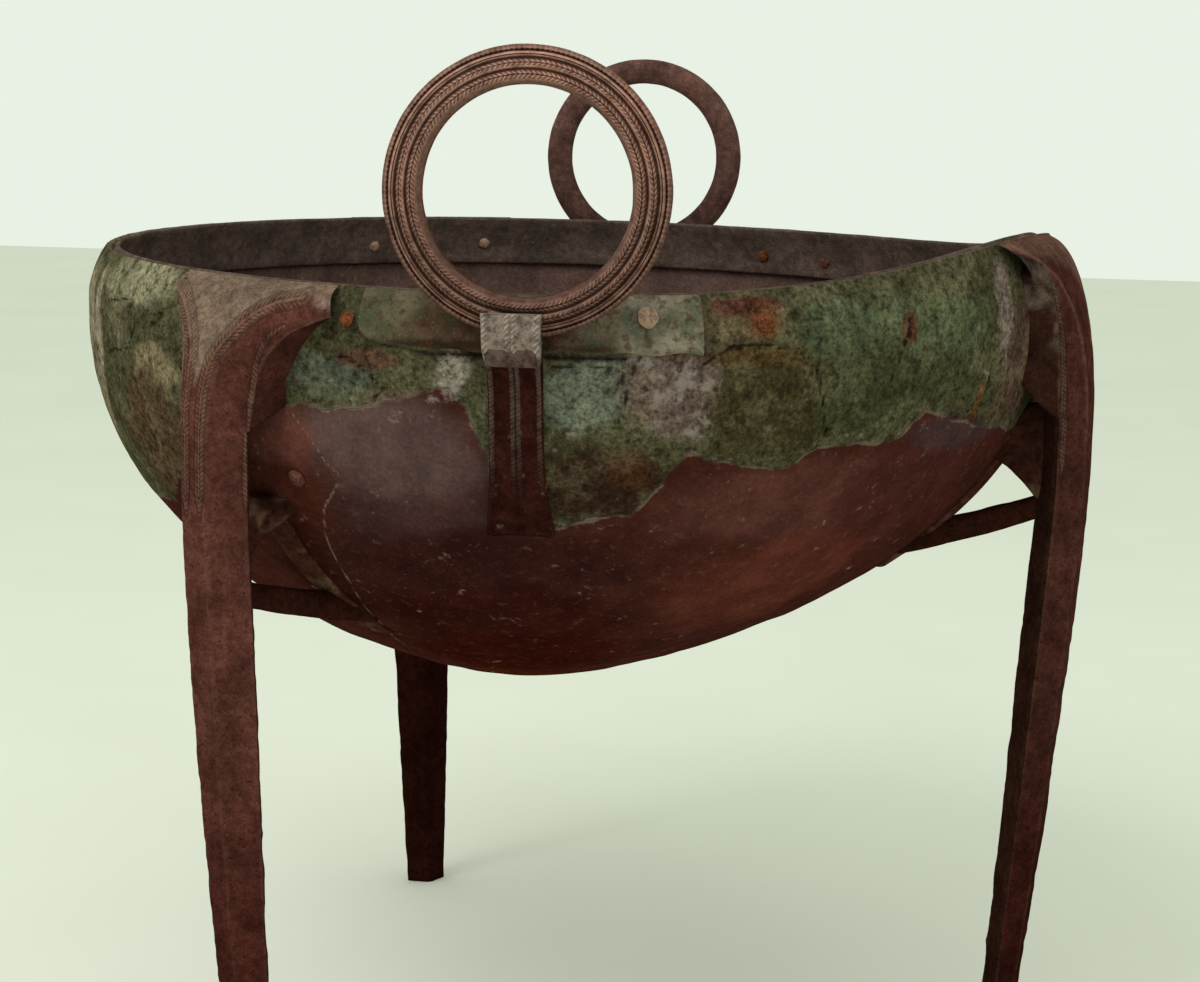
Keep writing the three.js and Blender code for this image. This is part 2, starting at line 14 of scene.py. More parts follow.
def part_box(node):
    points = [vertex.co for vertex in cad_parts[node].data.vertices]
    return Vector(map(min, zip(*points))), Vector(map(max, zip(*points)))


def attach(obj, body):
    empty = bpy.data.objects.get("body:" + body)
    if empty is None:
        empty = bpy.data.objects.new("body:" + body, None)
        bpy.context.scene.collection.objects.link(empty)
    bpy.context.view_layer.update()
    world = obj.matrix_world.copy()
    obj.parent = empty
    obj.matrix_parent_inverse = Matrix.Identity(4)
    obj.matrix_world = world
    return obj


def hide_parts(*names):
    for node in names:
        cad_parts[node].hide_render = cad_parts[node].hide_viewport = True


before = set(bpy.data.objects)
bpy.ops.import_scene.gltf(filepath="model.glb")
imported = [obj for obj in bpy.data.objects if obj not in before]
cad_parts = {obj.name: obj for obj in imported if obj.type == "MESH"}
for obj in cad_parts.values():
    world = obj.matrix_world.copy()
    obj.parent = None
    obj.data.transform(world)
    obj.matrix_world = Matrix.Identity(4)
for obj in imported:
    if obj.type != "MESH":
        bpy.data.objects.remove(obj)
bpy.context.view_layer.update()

# Bowl. One sheet of bronze, 3 mm thick and thicker at its lip, raised by hammering to a deep kettle.
# A proud green and olive crust covers its upper part and ends in a broken edge; below it the metal
# is bare, grey-purple turning to maroon. The underside has slumped towards the left.
bowl_low, bowl_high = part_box("bowl")
AXIS_X = 500 * (bowl_low.x + bowl_high.x)
AXIS_Y = 500 * (bowl_low.y + bowl_high.y)
WIDEST = 312.0
WIDEST_HEIGHT = 492.0
DEPTH = 251.0
MOUTH_LEAN = 11.6
LIP_LEVEL = 522.6
BOWL_WALL = 3.0
LIP_WALL = 4.6
# Exponents of the underside's curve, and the sideways slump of its lowest point.
DROP_POWER = 2.154
RADIUS_POWER = 1.432
SLUMP_POWER = 1.5
SLUMP_X = -28.8
SLUMP_Y = -5.4
HIGHEST_RELIEF = 1.8


def lip_height(azimuth):
    """Height of the lip: slightly tilted, with a bell-shaped pull upwards beside the right leg."""
    a = np.radians(azimuth)
    away = ((azimuth - 72.7 + 540) % 360 - 180) / 34.6
    return LIP_LEVEL - 3.65 * np.cos(a) - 3.23 * np.sin(a) + 28 * np.exp(-away * away)


def wall_radius(azimuth, z):
    """Radius of the bowl's outer face: below the widest circle a superellipse with its slump, above it a
    lean inwards that grows with the square of the height."""
    a = np.radians(azimuth)
    rise = (z - WIDEST_HEIGHT) / (lip_height(azimuth) - WIDEST_HEIGHT)
    above = WIDEST - MOUTH_LEAN * rise * rise
    drop = np.clip((WIDEST_HEIGHT - z) / DEPTH, 0, 1)
    below = WIDEST * (1 - drop**DROP_POWER) ** (1 / RADIUS_POWER)
    below = below + (SLUMP_X * np.sin(a) - SLUMP_Y * np.cos(a)) * drop**SLUMP_POWER
    return np.where(z >= WIDEST_HEIGHT, above, below)


def polar(azimuth, radius, z, sideways=0.0):
    """Points at a radius, a height and a sideways distance from the upright plane of an azimuth."""
    a = np.radians(azimuth)
    x = radius * np.sin(a) + sideways * np.cos(a)
    y = -radius * np.cos(a) + sideways * np.sin(a)
    return np.stack(np.broadcast_arrays(x + AXIS_X, y + AXIS_Y, z), -1)


def smooth(value, low, high):
    """Smoothstep of value between low and high."""
    part = np.clip((value - low) / (high - low), 0, 1)
    return part * part * (3 - 2 * part)


LATTICE = np.random.default_rng(11).random((40, 40, 40)) * 2 - 1


def cloud(points, size, layers):
    """Value noise from -1 to 1: random numbers on a cubic lattice of this size in mm, smoothly blended.

    Each further layer is half the size and half the strength."""
    total = 0.0
    strength = 1.0
    whole = 0.0
    for layer in range(layers):
        place = points / size * 2**layer + 13.7 * layer + 500
        cell = np.floor(place).astype(int)
        part = place - cell
        part = part * part * (3 - 2 * part)
        value = 0.0
        for corner in range(8):
            step = np.array([corner & 1, corner >> 1 & 1, corner >> 2])
            weight = np.prod(np.where(step == 1, part, 1 - part), axis=-1)
            i, j, k = np.moveaxis((cell + step) % 40, -1, 0)
            value = value + weight * LATTICE[i, j, k]
        total = total + strength * value
        whole += strength
        strength *= 0.5
    return total / whole


def to_route(x, y, route):
    """Distance to a line of straight pieces, side it lies on (1 left, -1 right) and length along it."""
    route = np.asarray(route, float)
    best = np.full(np.shape(x), 1e9)
    side = np.ones(np.shape(x))
    along = np.zeros(np.shape(x))
    done = 0.0
    for (x0, y0), (x1, y1) in zip(route[:-1], route[1:]):
        dx, dy = x1 - x0, y1 - y0
        length = np.hypot(dx, dy)
        part = np.clip(((x - x0) * dx + (y - y0) * dy) / length**2, 0, 1)
        away = np.hypot(x - x0 - part * dx, y - y0 - part * dy)
        nearer = away < best
        turn = np.where(dx * (y - y0) - dy * (x - x0) >= 0, 1.0, -1.0)
        side = np.where(nearer, turn, side)
        along = np.where(nearer, done + part * length, along)
        best = np.where(nearer, away, best)
        done += length
    return best, side, along


def in_outline(x, y, outline):
    """Distance in mm inside (positive) or outside a closed outline."""
    outline = np.asarray(outline, float)
    after = np.roll(outline, -1, 0)
    inside = np.zeros(np.shape(x), bool)
    for (x0, y0), (x1, y1) in zip(outline, after):
        if y0 != y1:
            crosses = ((y0 > y) != (y1 > y)) & (x < (x1 - x0) * (y - y0) / (y1 - y0) + x0)
            inside ^= crosses
    best, _, _ = to_route(x, y, np.vstack([outline, outline[:1]]))
    return np.where(inside, best, -best)


def shell(points, fields=None, loop=False):
    """Closed skin over a grid of points whose columns join up: its points, squares, triangles and fields.

    The first and last rows close on their middle point, or meet each other when loop is set."""
    rows, columns = points.shape[:2]
    index = np.arange(rows * columns).reshape(rows, columns)
    if loop:
        index = np.vstack([index, index[:1]])
    low, high = index[:-1], index[1:]
    squares = np.stack([low, np.roll(low, -1, 1), np.roll(high, -1, 1), high], -1).reshape(-1, 4)
    spots = points.reshape(-1, 3)
    values = {}
    for name, value in (fields or {}).items():
        values[name] = np.asarray(value, float).reshape(rows * columns, -1)
    triangles = []
    if not loop:
        for row, middle in ((index[0, ::-1], rows * columns), (index[-1], rows * columns + 1)):
            triangles += np.stack([row, np.roll(row, -1), np.full(columns, middle)], -1).tolist()
        spots = np.vstack([spots, points[0].mean(0), points[-1].mean(0)])
        for name, value in values.items():
            values[name] = np.vstack([value, value[:columns].mean(0), value[-columns:].mean(0)])
    return spots, squares, np.array(triangles, int).reshape(-1, 3), values


def make_piece(name, shells, material, nodes):
    """One smooth mesh from closed shells, in metres, which rides on the body and stands for CAD nodes."""
    starts = np.cumsum([0] + [len(spots) for spots, _, _, _ in shells])
    faces = []
    for (_, squares, triangles, _), start in zip(shells, starts):
        faces += (squares + start).tolist() + (triangles + start).tolist()
    mesh = bpy.data.meshes.new(name)
    mesh.from_pydata((np.vstack([part[0] for part in shells]) / 1000).tolist(), [], faces)
    for field_name in sorted(shells[0][3]):
        value = np.vstack([part[3][field_name] for part in shells])
        kind, key = ("FLOAT", "value") if value.shape[1] == 1 else ("FLOAT_VECTOR", "vector")
        mesh.attributes.new(field_name, kind, "POINT").data.foreach_set(key, value.ravel())
    mesh.shade_smooth()
    mesh.materials.append(material)
    mesh.validate()
    piece = bpy.data.objects.new(name, mesh)
    bpy.context.scene.collection.objects.link(piece)
    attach(piece, "root")
    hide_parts(*nodes)


def grid_normals(points, loop=False):
    """Unit normals of a grid of points, from the steps along its rows and its columns."""
    if loop:
        up = np.roll(points, -1, 0) - np.roll(points, 1, 0)
    else:
        up = np.gradient(points, axis=0)
    round_about = np.roll(points, -1, 1) - np.roll(points, 1, 1)
    normal = np.cross(round_about, up)
    return normal / np.maximum(np.linalg.norm(normal, axis=-1, keepdims=True), 1e-9)


def spaced(stops, counts):
    """Numbers from stop to stop, with this count of even steps between two stops and the last stop kept."""
    parts = [np.linspace(a, b, n, endpoint=False) for a, b, n in zip(stops[:-1], stops[1:], counts)]
    return np.concatenate([*parts, stops[-1:]])


def lumpy(points, amount, size, layers, loop=False):
    """Grid pushed in and out along its normals by noise of this amount and size in mm."""
    return points + amount * cloud(points, size, layers)[..., None] * grid_normals(points, loop)


def tone(code):
    """Linear colour of a two-digit-each red, green and blue code."""
    value = np.array([int(code[i : i + 2], 16) for i in (0, 2, 4)]) / 255
    return np.where(value <= 0.04045, value / 12.92, ((value + 0.055) / 1.055) ** 2.4)


def feed(tree, node, sockets):
    """Gives a node's sockets their numbers, colours or other nodes' outputs."""
    for key, value in sockets.items():
        if isinstance(value, bpy.types.NodeSocket):
            tree.links.new(value, node.inputs[key])
        else:
            node.inputs[key].default_value = value


def add_node(tree, kind, sockets, **settings):
    """Shader node with its settings and its sockets fed."""
    node = tree.nodes.new(kind)
    for key, value in settings.items():
        setattr(node, key, value)
    feed(tree, node, sockets)
    return node


def sums(tree, operation, *values):
    """Result of one arithmetic node."""
    return add_node(tree, "ShaderNodeMath", dict(enumerate(values)), operation=operation).outputs[0]


def fade(tree, value, low, high, start=0.0, end=1.0):
    """Value turned smoothly from start to end as it goes from low to high."""
    sockets = {"Value": value, "From Min": low, "From Max": high, "To Min": start, "To Max": end}
    return add_node(tree, "ShaderNodeMapRange", sockets, interpolation_type="SMOOTHSTEP").outputs[0]


def blend(tree, share, first, second):
    """Mix of two colours, with this share of the second."""
    sockets = {0: share}
    for key, colour in ((6, first), (7, second)):
        sockets[key] = colour if isinstance(colour, bpy.types.NodeSocket) else (*colour, 1)
    return add_node(tree, "ShaderNodeMix", sockets, data_type="RGBA").outputs[2]


def grain(tree, size, detail=2.0, rough=0.55, stretch=None):
    """Noise from about 0 to 1 whose blotches have this size in mm."""
    place = add_node(tree, "ShaderNodeTexCoord", {}).outputs["Object"]
    if stretch:
        place = add_node(tree, "ShaderNodeMapping", {"Vector": place, "Scale": stretch}).outputs[0]
    sockets = {"Vector": place, "Scale": 1000 / size, "Detail": detail, "Roughness": rough}
    return add_node(tree, "ShaderNodeTexNoise", sockets).outputs[0]


def field(tree, name, kind="Fac"):
    """A number or colour stored on the points of the piece."""
    return add_node(tree, "ShaderNodeAttribute", {}, attribute_name=name).outputs[kind]


def mottled(tree, colour, value, low, high, dark, light):
    """Colour multiplied by dark to light as a value goes from low to high."""
    amount = fade(tree, value, low, high, dark, light)
    return add_node(tree, "ShaderNodeVectorMath", {0: colour, "Scale": amount}, operation="SCALE").outputs[0]


def stained(tree, colour, code, value, low, high, most):
    """Colour stained with a tone, not at all where a value is low and the most where it is high."""
    return blend(tree, fade(tree, value, low, high, 0.0, most), colour, tone(code))


def tinted(tree, colour, code, share, strength):
    """Colour mixed with a tone by a share times its strength."""
    return blend(tree, sums(tree, "MULTIPLY", share, strength), colour, tone(code))


def raised(tree, height, share, amount):
    """Height with an amount in mm added where the share is 1."""
    return sums(tree, "MULTIPLY_ADD", share, amount, height)


def new_finish(name):
    """Material and its node tree; the surface has no gloss of its own, because the old bronze is dull."""
    material = bpy.data.materials.new(name)
    material.use_nodes = True
    material.node_tree.nodes["Principled BSDF"].inputs["Specular IOR Level"].default_value = 0.0
    return material, material.node_tree


def set_finish(tree, colour, roughness, height, metallic=0.0):
    """Feeds the surface: colour, roughness, relief in mm and metallic share."""
    bump = add_node(tree, "ShaderNodeBump", {"Height": height, "Distance": 1 / 1000, "Strength": 1.0})
    sockets = {"Base Color": colour, "Normal": bump.outputs[0], "Roughness": roughness, "Metallic": metallic}
    feed(tree, tree.nodes["Principled BSDF"], sockets)


# Lower edge of the crust from left to right, as azimuth and height; the hidden back carries on in kind.
CRUST_EDGE = [
    (-120, 392), (-90, 400), (-75, 384), (-60, 372), (-50, 378), (-44, 398), (-36, 432), (-27, 446),
    (-21.8, 454), (-17.7, 453), (-13.7, 455), (-10.3, 460), (-5.9, 466), (-4, 468), (-2.3, 458),
    (-1, 440), (1.5, 402), (5.4, 393), (7.4, 385), (11.1, 394), (14, 398), (15.7, 399), (17, 405),
    (18.7, 422), (20.5, 437), (22.5, 431), (26, 427), (31.9, 423), (35.6, 436), (40, 435), (45.7, 437),
    (48.7, 453), (53.6, 446), (57.5, 441), (62.5, 436), (72, 430), (88, 424), (104, 438), (121, 428),
    (138, 420), (150, 436), (166, 441), (182, 430), (200, 424), (217, 440), (236, 433), (252, 418),
    (268, 404), (285, 384), (300, 372),
]
# Cracks and broken edges that cross the crust.
CRACKS = [
    [(20.4, 483), (23.5, 493), (27, 494), (31.2, 490), (33.2, 479), (34.1, 466), (35.4, 444), (34.7, 435)],
    [(34.7, 435), (31.9, 424)],
    [(-18.2, 487), (-17.3, 481), (-15.5, 482), (-13.3, 475), (-10.7, 467), (-12.6, 458)],
    [(43.9, 494), (43.2, 482), (42.3, 469)],
    [(-55.8, 497), (-49.5, 500), (-47.4, 486), (-49.5, 471), (-55.8, 466)],
    [(-45.8, 497), (-41.6, 494), (-43.6, 487)],
    [(5.8, 482), (10, 484), (12.8, 480), (13.4, 466), (12.9, 452)],
    [(14.8, 494), (13.9, 482), (13.5, 470)],
    [(60, 512), (58, 488), (59.5, 462), (57.5, 446)],
    [(104, 508), (107, 490), (103, 476), (109, 455), (107, 438)],
    [(139, 462), (146, 470), (152, 466), (158, 478), (169, 476)],
    [(228, 512), (226, 494), (232, 480), (229, 462)],
    [(252, 450), (258, 462), (268, 460), (273, 472)],
]
# Fine line where the bare metal was patched beside the left leg.
SEAM = [(-21.6, 448), (-19.8, 435), (-18.1, 421), (-16.8, 416), (-17.4, 408), (-20, 391), (-21.1, 376),
        (-21.2, 360), (-21.2, 343), (-21.9, 325), (-22.1, 307), (-24.8, 283)]
# Whitish crust: azimuth, height, half width and half height in mm, and strength.
WHITE_SPOTS = [
    (18, 471, 24, 24, 1.0), (20.5, 450, 14, 12, 0.8), (-3.8, 474, 9, 14, 0.75), (15.2, 487, 13, 9, 0.8),
    (9.2, 446, 19, 2.2, 0.9), (17.8, 446, 13, 3, 0.7), (-44, 464, 15, 9, 0.7), (-8, 452, 20, 7, 0.5),
    (-18, 452, 14, 2.5, 0.7), (17.4, 430, 9, 10, 0.45), (-42.8, 505, 5, 11, 0.7), (-57, 500, 8, 14, 0.5),
    (45, 442, 60, 3, 0.5), (29, 412, 8, 3, 0.4), (59.5, 500, 5, 20, 0.5), (60, 468, 5, 14, 0.4),
    (-6, 462, 12, 4, 0.6), (-50, 436, 18, 5, 0.35), (26, 432, 30, 2.5, 0.5), (12, 391, 30, 2.2, 0.5),
    (-17.5, 411, 5, 9, 0.5),
]
# Tones of the crust and of the bare metal: azimuth, height, half width, half height and colour.
CRUST_TONES = [
    (-50, 512, 44, 17, "78735b"), (-66, 486, 24, 34, "7b725e"), (-60, 476, 9, 40, "8a7f6b"),
    (-63, 440, 18, 30, "6f6552"), (-52, 484, 18, 13, "5a5440"), (-43, 464, 26, 13, "7a6d54"),
    (-46, 420, 46, 42, "4c3c2c"), (-17, 472, 27, 13, "42453a"), (-13, 482, 22, 5, "50392c"),
    (-4, 476, 10, 13, "857b70"), (-9, 460, 26, 6, "54443a"), (9.3, 468, 24, 21, "5f6355"),
    (12, 415, 40, 27, "32241b"), (14.7, 427, 15, 13, "40281a"), (18, 468, 28, 28, "5c4b45"),
    (28, 487, 36, 7, "4b3a24"), (28, 458, 37, 28, "3b3421"), (40, 500, 46, 17, "474d38"),
    (40, 468, 34, 30, "3e3e2a"), (51, 500, 34, 20, "4d523b"), (51, 466, 30, 20, "413f2c"),
    (24, 508, 26, 12, "564a36"), (53, 441, 36, 7, "35211e"), (66, 478, 30, 40, "4c3a31"),
    # (3, 487, 62, 2.4) below is a thin dark line of painted shadow under the repair plate's lower edge.
    (61.5, 506, 10, 28, "6a5c54"), (57.6, 455, 2, 11, "6a3c18"), (3, 487, 62, 2.4, "1a110c"),
    (25, 514, 22, 5, "503028"), (44.6, 501, 6, 9, "4a2c20"), (27.3, 506, 10, 9, "573824"),
]
# Bare tones: the darkest ovals low on the bowl and beside the left leg's bracket are partly the metal's
# maroon and partly painted shade; the purple-grey oval at (-11, 434) is partly a painted sheen.
BARE_TONES = [
    (-6, 398, 66, 44, "3a2524"), (-11, 434, 60, 30, "4c3937"), (-24, 432, 24, 22, "5c362f"),
    (-25, 396, 28, 24, "44211a"), (-26, 345, 24, 40, "331612"), (0, 360, 110, 26, "2e1513"),
    (2, 320, 130, 26, "2d110d"), (6, 285, 160, 24, "2f0f09"), (36, 400, 90, 26, "472924"),
    (52, 400, 60, 36, "3b1e1a"), (56, 438, 46, 12, "382626"), (40, 345, 90, 34, "4c261f"),
    (4, 246, 400, 16, "3e1a09"),
]
# On the sides that the picture doesn't show, more ovals of the same tones lie where chance puts them.
HIDDEN_TONES = [
    (CRUST_TONES, (430, 515), ["5d5a46", "4b4a34", "3a3c28", "54503c", "4a3a26", "6a624e", "3c2c20"]),
    (BARE_TONES, (270, 430), ["4a312c", "3a1c16", "54312a", "2c120d", "43281f"]),
]
chance = np.random.default_rng(5)
for tones, heights, codes in HIDDEN_TONES:
    for number in range(34):
        oval = [chance.uniform(*ends) for ends in ((84, 282), heights, (14, 46), (7, 24))]
        tones.append((*oval, codes[number % len(codes)]))


def paint(azimuth, z, points, base, tones, ragged):
    """Colour laid on in soft-edged ovals over a base, their borders broken up by noise."""
    colour = np.broadcast_to(tone(base), (*azimuth.shape, 3)).copy()
    wave = ragged * cloud(points, 26, 3)
    for centre, height, wide, tall, code in tones:
        arc = (azimuth - centre) * radians(WIDEST)
        away = np.hypot(arc / wide, (z - height) / tall) + wave
        share = 1 - smooth(away, 0.65, 1.25)
        colour += share[..., None] * (tone(code) - colour)
    return colour


def bowl_outside(azimuth, turn):
    """Outer face: a quarter superellipse for turn 0 to 1, then the leaning rim for turn 1 to 2."""
    quarter = np.clip(turn, 0, 1) * pi / 2
    drop = np.cos(quarter) ** (2 / DROP_POWER)
    rise = np.clip(turn - 1, 0, 1)
    radius = WIDEST * np.sin(quarter) ** (2 / RADIUS_POWER) - MOUTH_LEAN * rise * rise
    z = WIDEST_HEIGHT - DEPTH * drop + rise * (lip_height(azimuth) - WIDEST_HEIGHT)
    points = polar(azimuth, radius, z)
    points[..., 0] += SLUMP_X * drop**SLUMP_POWER
    points[..., 1] += SLUMP_Y * drop**SLUMP_POWER
    return points


def as_arcs(route):
    """Azimuths of a route turned to millimetres round the widest circle."""
    return [(azimuth * radians(WIDEST), z) for azimuth, z in route]


# Columns stand closer together at the front, where the picture is taken from.
column = np.arange(480) / 480
azimuths = np.degrees(2 * pi * column - 0.35 * np.sin(2 * pi * column))
turns = spaced([0.03, 0.6, 1, 1.98], [50, 82, 15])
azimuth_grid, turn_grid = np.meshgrid(azimuths, turns)
# Measured from -75 to 285 degrees, so that no outline is cut at the front.
azimuth_grid = np.where(azimuth_grid > 285, azimuth_grid - 360, azimuth_grid)
outside = bowl_outside(azimuth_grid, turn_grid)
normals = grid_normals(outside)
z_grid = outside[..., 2]
arc_grid = azimuth_grid * radians(WIDEST)
crust = in_outline(arc_grid, z_grid, as_arcs([(-120, 600), *CRUST_EDGE, (300, 600)]))
crust = crust + 3.5 * cloud(outside, 13, 3)
crust_share = smooth(crust, -1.2, 1.2)
crack = np.full(arc_grid.shape, 60.0)
jagged = 2.2 * cloud(outside, 9, 2)
for route in CRACKS:
    crack = np.minimum(crack, to_route(arc_grid + jagged, z_grid + 0.8 * jagged, as_arcs(route))[0])
# Two small holes one above the other, right of the front.
for centre, height in ((44.7, 505), (44.5, 498)):
    crack = np.minimum(crack, np.hypot(arc_grid - centre * radians(WIDEST), z_grid - height) - 1.4)
seam = to_route(arc_grid + 1.5 * cloud(outside, 12, 2), z_grid, as_arcs(SEAM))[0]
white = np.zeros(arc_grid.shape)
for centre, height, wide, tall, strength in WHITE_SPOTS:
    away = np.hypot((azimuth_grid - centre) * radians(WIDEST) / wide, (z_grid - height) / tall)
    white = np.maximum(white, strength * (1 - smooth(away, 0.3, 1.3)))
# Block of thicker crust that stands proud within its crack.
block = in_outline(arc_grid, z_grid, as_arcs([*CRACKS[0], (31.9, 423), (26, 427), (21.7, 440), (20.6, 460)]))
relief = 0.55 * cloud(outside, 46, 2) * smooth(turn_grid, 0.1, 0.4)
relief += crust_share * (0.55 + 0.45 * cloud(outside, 8, 2))
relief += 0.9 * smooth(block, -0.5, 3) + 0.5 * white * cloud(outside, 6, 2)
relief -= crust_share * 1.1 * (1 - smooth(crack, 0.3, 2.6))
relief += 0.4 * (1 - smooth(seam, 0.2, 2.2))
relief += 0.7 * smooth(-crust, -4, 0) * (1 - crust_share) * cloud(outside, 20, 1)
outer_points = outside + normals * np.minimum(relief, HIGHEST_RELIEF)[..., None]
# The inner face lies a wall's thickness behind, and the lip's edge is rounded over in three rows.
lip_rows = []
for lean in (35, 90, 145):
    edge = outside[-1] - normals[-1] * LIP_WALL * (0.5 - 0.5 * cos(radians(lean)))
    edge[:, 2] += 1.2 * sin(radians(lean)) + 0.35 * cloud(outside[-1], 16, 2)
    lip_rows.append(edge)
inner_turns = np.concatenate([np.linspace(1.97, 1, 12), np.linspace(0.97, 0.04, 34)])
inner_azimuth, inner_turn = np.meshgrid(azimuths, inner_turns)
inner_face = bowl_outside(inner_azimuth, inner_turn)
wall = BOWL_WALL + (LIP_WALL - BOWL_WALL) * np.clip((inner_turn - 0.9) / 1.1, 0, 1)
inner_face -= grid_normals(inner_face[::-1])[::-1] * (wall + 0.3 * cloud(inner_face, 40, 2))[..., None]


def with_inside(values, last):
    """Values of the outer rows, followed by one and the same for every row of the lip and the inside."""
    rest = np.broadcast_to(np.asarray(last, float), (len(lip_rows) + len(inner_turns), *values.shape[1:]))
    return np.concatenate([values, rest])


crust_tones = paint(azimuth_grid, z_grid, outside, "45422f", CRUST_TONES, 0.45)
bare_tones = paint(azimuth_grid, z_grid, outside, "381c17", BARE_TONES, 0.3)
bowl_fields = {
    "crust": with_inside(crust, 30),
    "crack": with_inside(crack, 60),
    "seam": with_inside(seam, 60),
    "white": with_inside(white, 0),
    "inside": with_inside(np.zeros(arc_grid.shape), 1),
    "crust_tone": with_inside(crust_tones, tone("5b5140")),
    "bare_tone": with_inside(bare_tones, tone("5b4640")),
}
bowl_fields["inside"][len(turns) : len(turns) + len(lip_rows)] = 0.25


def bowl_finish():
    """Crust or bare metal by a broken border, white crust, dark cracks and pits, with relief to match."""
    material, tree = new_finish("hammered bronze with crust")
    patches = grain(tree, 24, 5, 0.6)
    mottle = grain(tree, 6, 5, 0.65)
    fine = grain(tree, 2.4, 6, 0.78)

    def ragged(name, amount):
        """A distance stored on the bowl, made uneven by the mottle."""
        return sums(tree, "ADD", field(tree, name), sums(tree, "MULTIPLY_ADD", mottle, amount, -amount / 2))

    border = ragged("crust", 5.0)
    on_crust = fade(tree, border, -0.5, 0.5)
    crusted = stained(tree, field(tree, "crust_tone", "Vector"), "5f5a45", patches, 0.5, 0.66, 0.22)
    crusted = stained(tree, crusted, "33231a", mottle, 0.47, 0.32, 0.6)
    crusted = mottled(tree, crusted, patches, 0.34, 0.66, 0.8, 1.22)
    crusted = mottled(tree, crusted, mottle, 0.34, 0.68, 0.8, 1.22)
    crusted = mottled(tree, crusted, fine, 0.34, 0.68, 0.55, 1.55)
    crusted = stained(tree, crusted, "1d130c", fine, 0.42, 0.34, 0.5)
    bare = mottled(tree, field(tree, "bare_tone", "Vector"), patches, 0.32, 0.68, 1.0, 1.48)
    bare = mottled(tree, bare, fine, 0.34, 0.7, 0.8, 1.22)
    bare = stained(tree, bare, "6b4d42", mottle, 0.56, 0.72, 0.22)
    flecks = fade(tree, grain(tree, 3.2, 3, 0.8, (1, 1, 0.5)), 0.64, 0.72)
    bare = tinted(tree, bare, "8a7465", flecks, 0.25)
    colour = blend(tree, on_crust, bare, crusted)
    pale = sums(tree, "MULTIPLY_ADD", grain(tree, 13, 4, 0.7), 4.0, -3.7)
    pale = sums(tree, "ADD", field(tree, "white"), sums(tree, "MULTIPLY_ADD", mottle, 2.4, pale))
    pale = fade(tree, pale, 0.1, 0.9)
    colour = tinted(tree, colour, "8e837b", pale, 0.65)
    edge = fade(tree, sums(tree, "ABSOLUTE", border), 0.25, 1.3, 1.0, 0.0)
    colour = tinted(tree, colour, "7d7066", edge, fade(tree, patches, 0.42, 0.6, 0.1, 0.7))
    gap = sums(tree, "MULTIPLY", fade(tree, ragged("crack", 1.8), 0.2, 1.4, 1.0, 0.0), on_crust)
    colour = tinted(tree, colour, "1a100b", gap, 0.75)
    colour = tinted(tree, colour, "7f7065", fade(tree, ragged("seam", 2.4), 0.2, 1.2, 1.0, 0.0), 0.6)
    inner = mottled(tree, field(tree, "bare_tone", "Vector"), patches, 0.32, 0.68, 0.78, 1.22)
    inner = mottled(tree, inner, fine, 0.34, 0.68, 0.75, 1.3)
    inner = stained(tree, inner, "3f2a24", grain(tree, 60, 5, 0.7), 0.52, 0.66, 0.5)
    inner = stained(tree, inner, "83736a", mottle, 0.6, 0.72, 0.4)
    colour = blend(tree, fade(tree, field(tree, "inside"), 0.3, 0.8), colour, inner)
    roughness = sums(tree, "MULTIPLY_ADD", mottle, 0.3, -0.15)
    roughness = sums(tree, "ADD", fade(tree, on_crust, 0, 1, 0.48, 0.85), roughness)
    height = sums(tree, "MULTIPLY", on_crust, 0.7)
    height = raised(tree, height, mottle, fade(tree, on_crust, 0, 1, 0.5, 0.8))
    height = raised(tree, height, fine, fade(tree, on_crust, 0, 1, 0.15, 0.75))
    height = raised(tree, raised(tree, height, gap, -1.2), pale, 0.35)
    set_finish(tree, colour, roughness, height)
    return material


bowl_points = np.concatenate([outer_points, np.array(lip_rows), inner_face])
make_piece("hammered_bowl", [shell(bowl_points, bowl_fields)], bowl_finish(), ["bowl"])

# Strip inside the lip. A band of sheet bronze 35 mm high that stiffens the mouth, riveted through the
# wall, dark brown with paler worn blotches.
BAND_THICKNESS = 3.4


def cast_finish(name, base, light, pits=0.5, blotch=26.0):
    """Brown bronze: a base tone, clouded darker and lighter, pale on worn places and on painted highlights,
    pitted all over.
    """
    material, tree = new_finish(name)
    mottle = grain(tree, 5, 5, 0.65)
    fine = grain(tree, 1.3, 4, 0.65)
    colour = tone(base) if base else field(tree, "tone", "Vector")
    colour = mottled(tree, colour, grain(tree, blotch, 5, 0.6), 0.34, 0.66, 0.74, 1.28)
    colour = mottled(tree, colour, mottle, 0.34, 0.68, 0.78, 1.28)
    colour = mottled(tree, colour, fine, 0.32, 0.7, 0.78, 1.28)
    colour = tinted(tree, colour, light, field(tree, "worn"), fade(tree, mottle, 0.3, 0.62, 0.3, 1.0))
    pit = fade(tree, grain(tree, 2.2, 3, 0.75), 0.38, 0.3)
    colour = tinted(tree, colour, "140806", pit, 0.6 * pits)
    height = raised(tree, sums(tree, "MULTIPLY", pit, -0.8 * pits), mottle, 0.3 + 0.9 * pits)
    return material, tree, colour, raised(tree, height, fine, 0.45)


def set_cast(tree, colour, height, roughness):
    """Feeds a cast surface that is rougher by up to 0.3 in small blotches."""
    set_finish(tree, colour, sums(tree, "MULTIPLY_ADD", grain(tree, 4), 0.3, roughness), height)


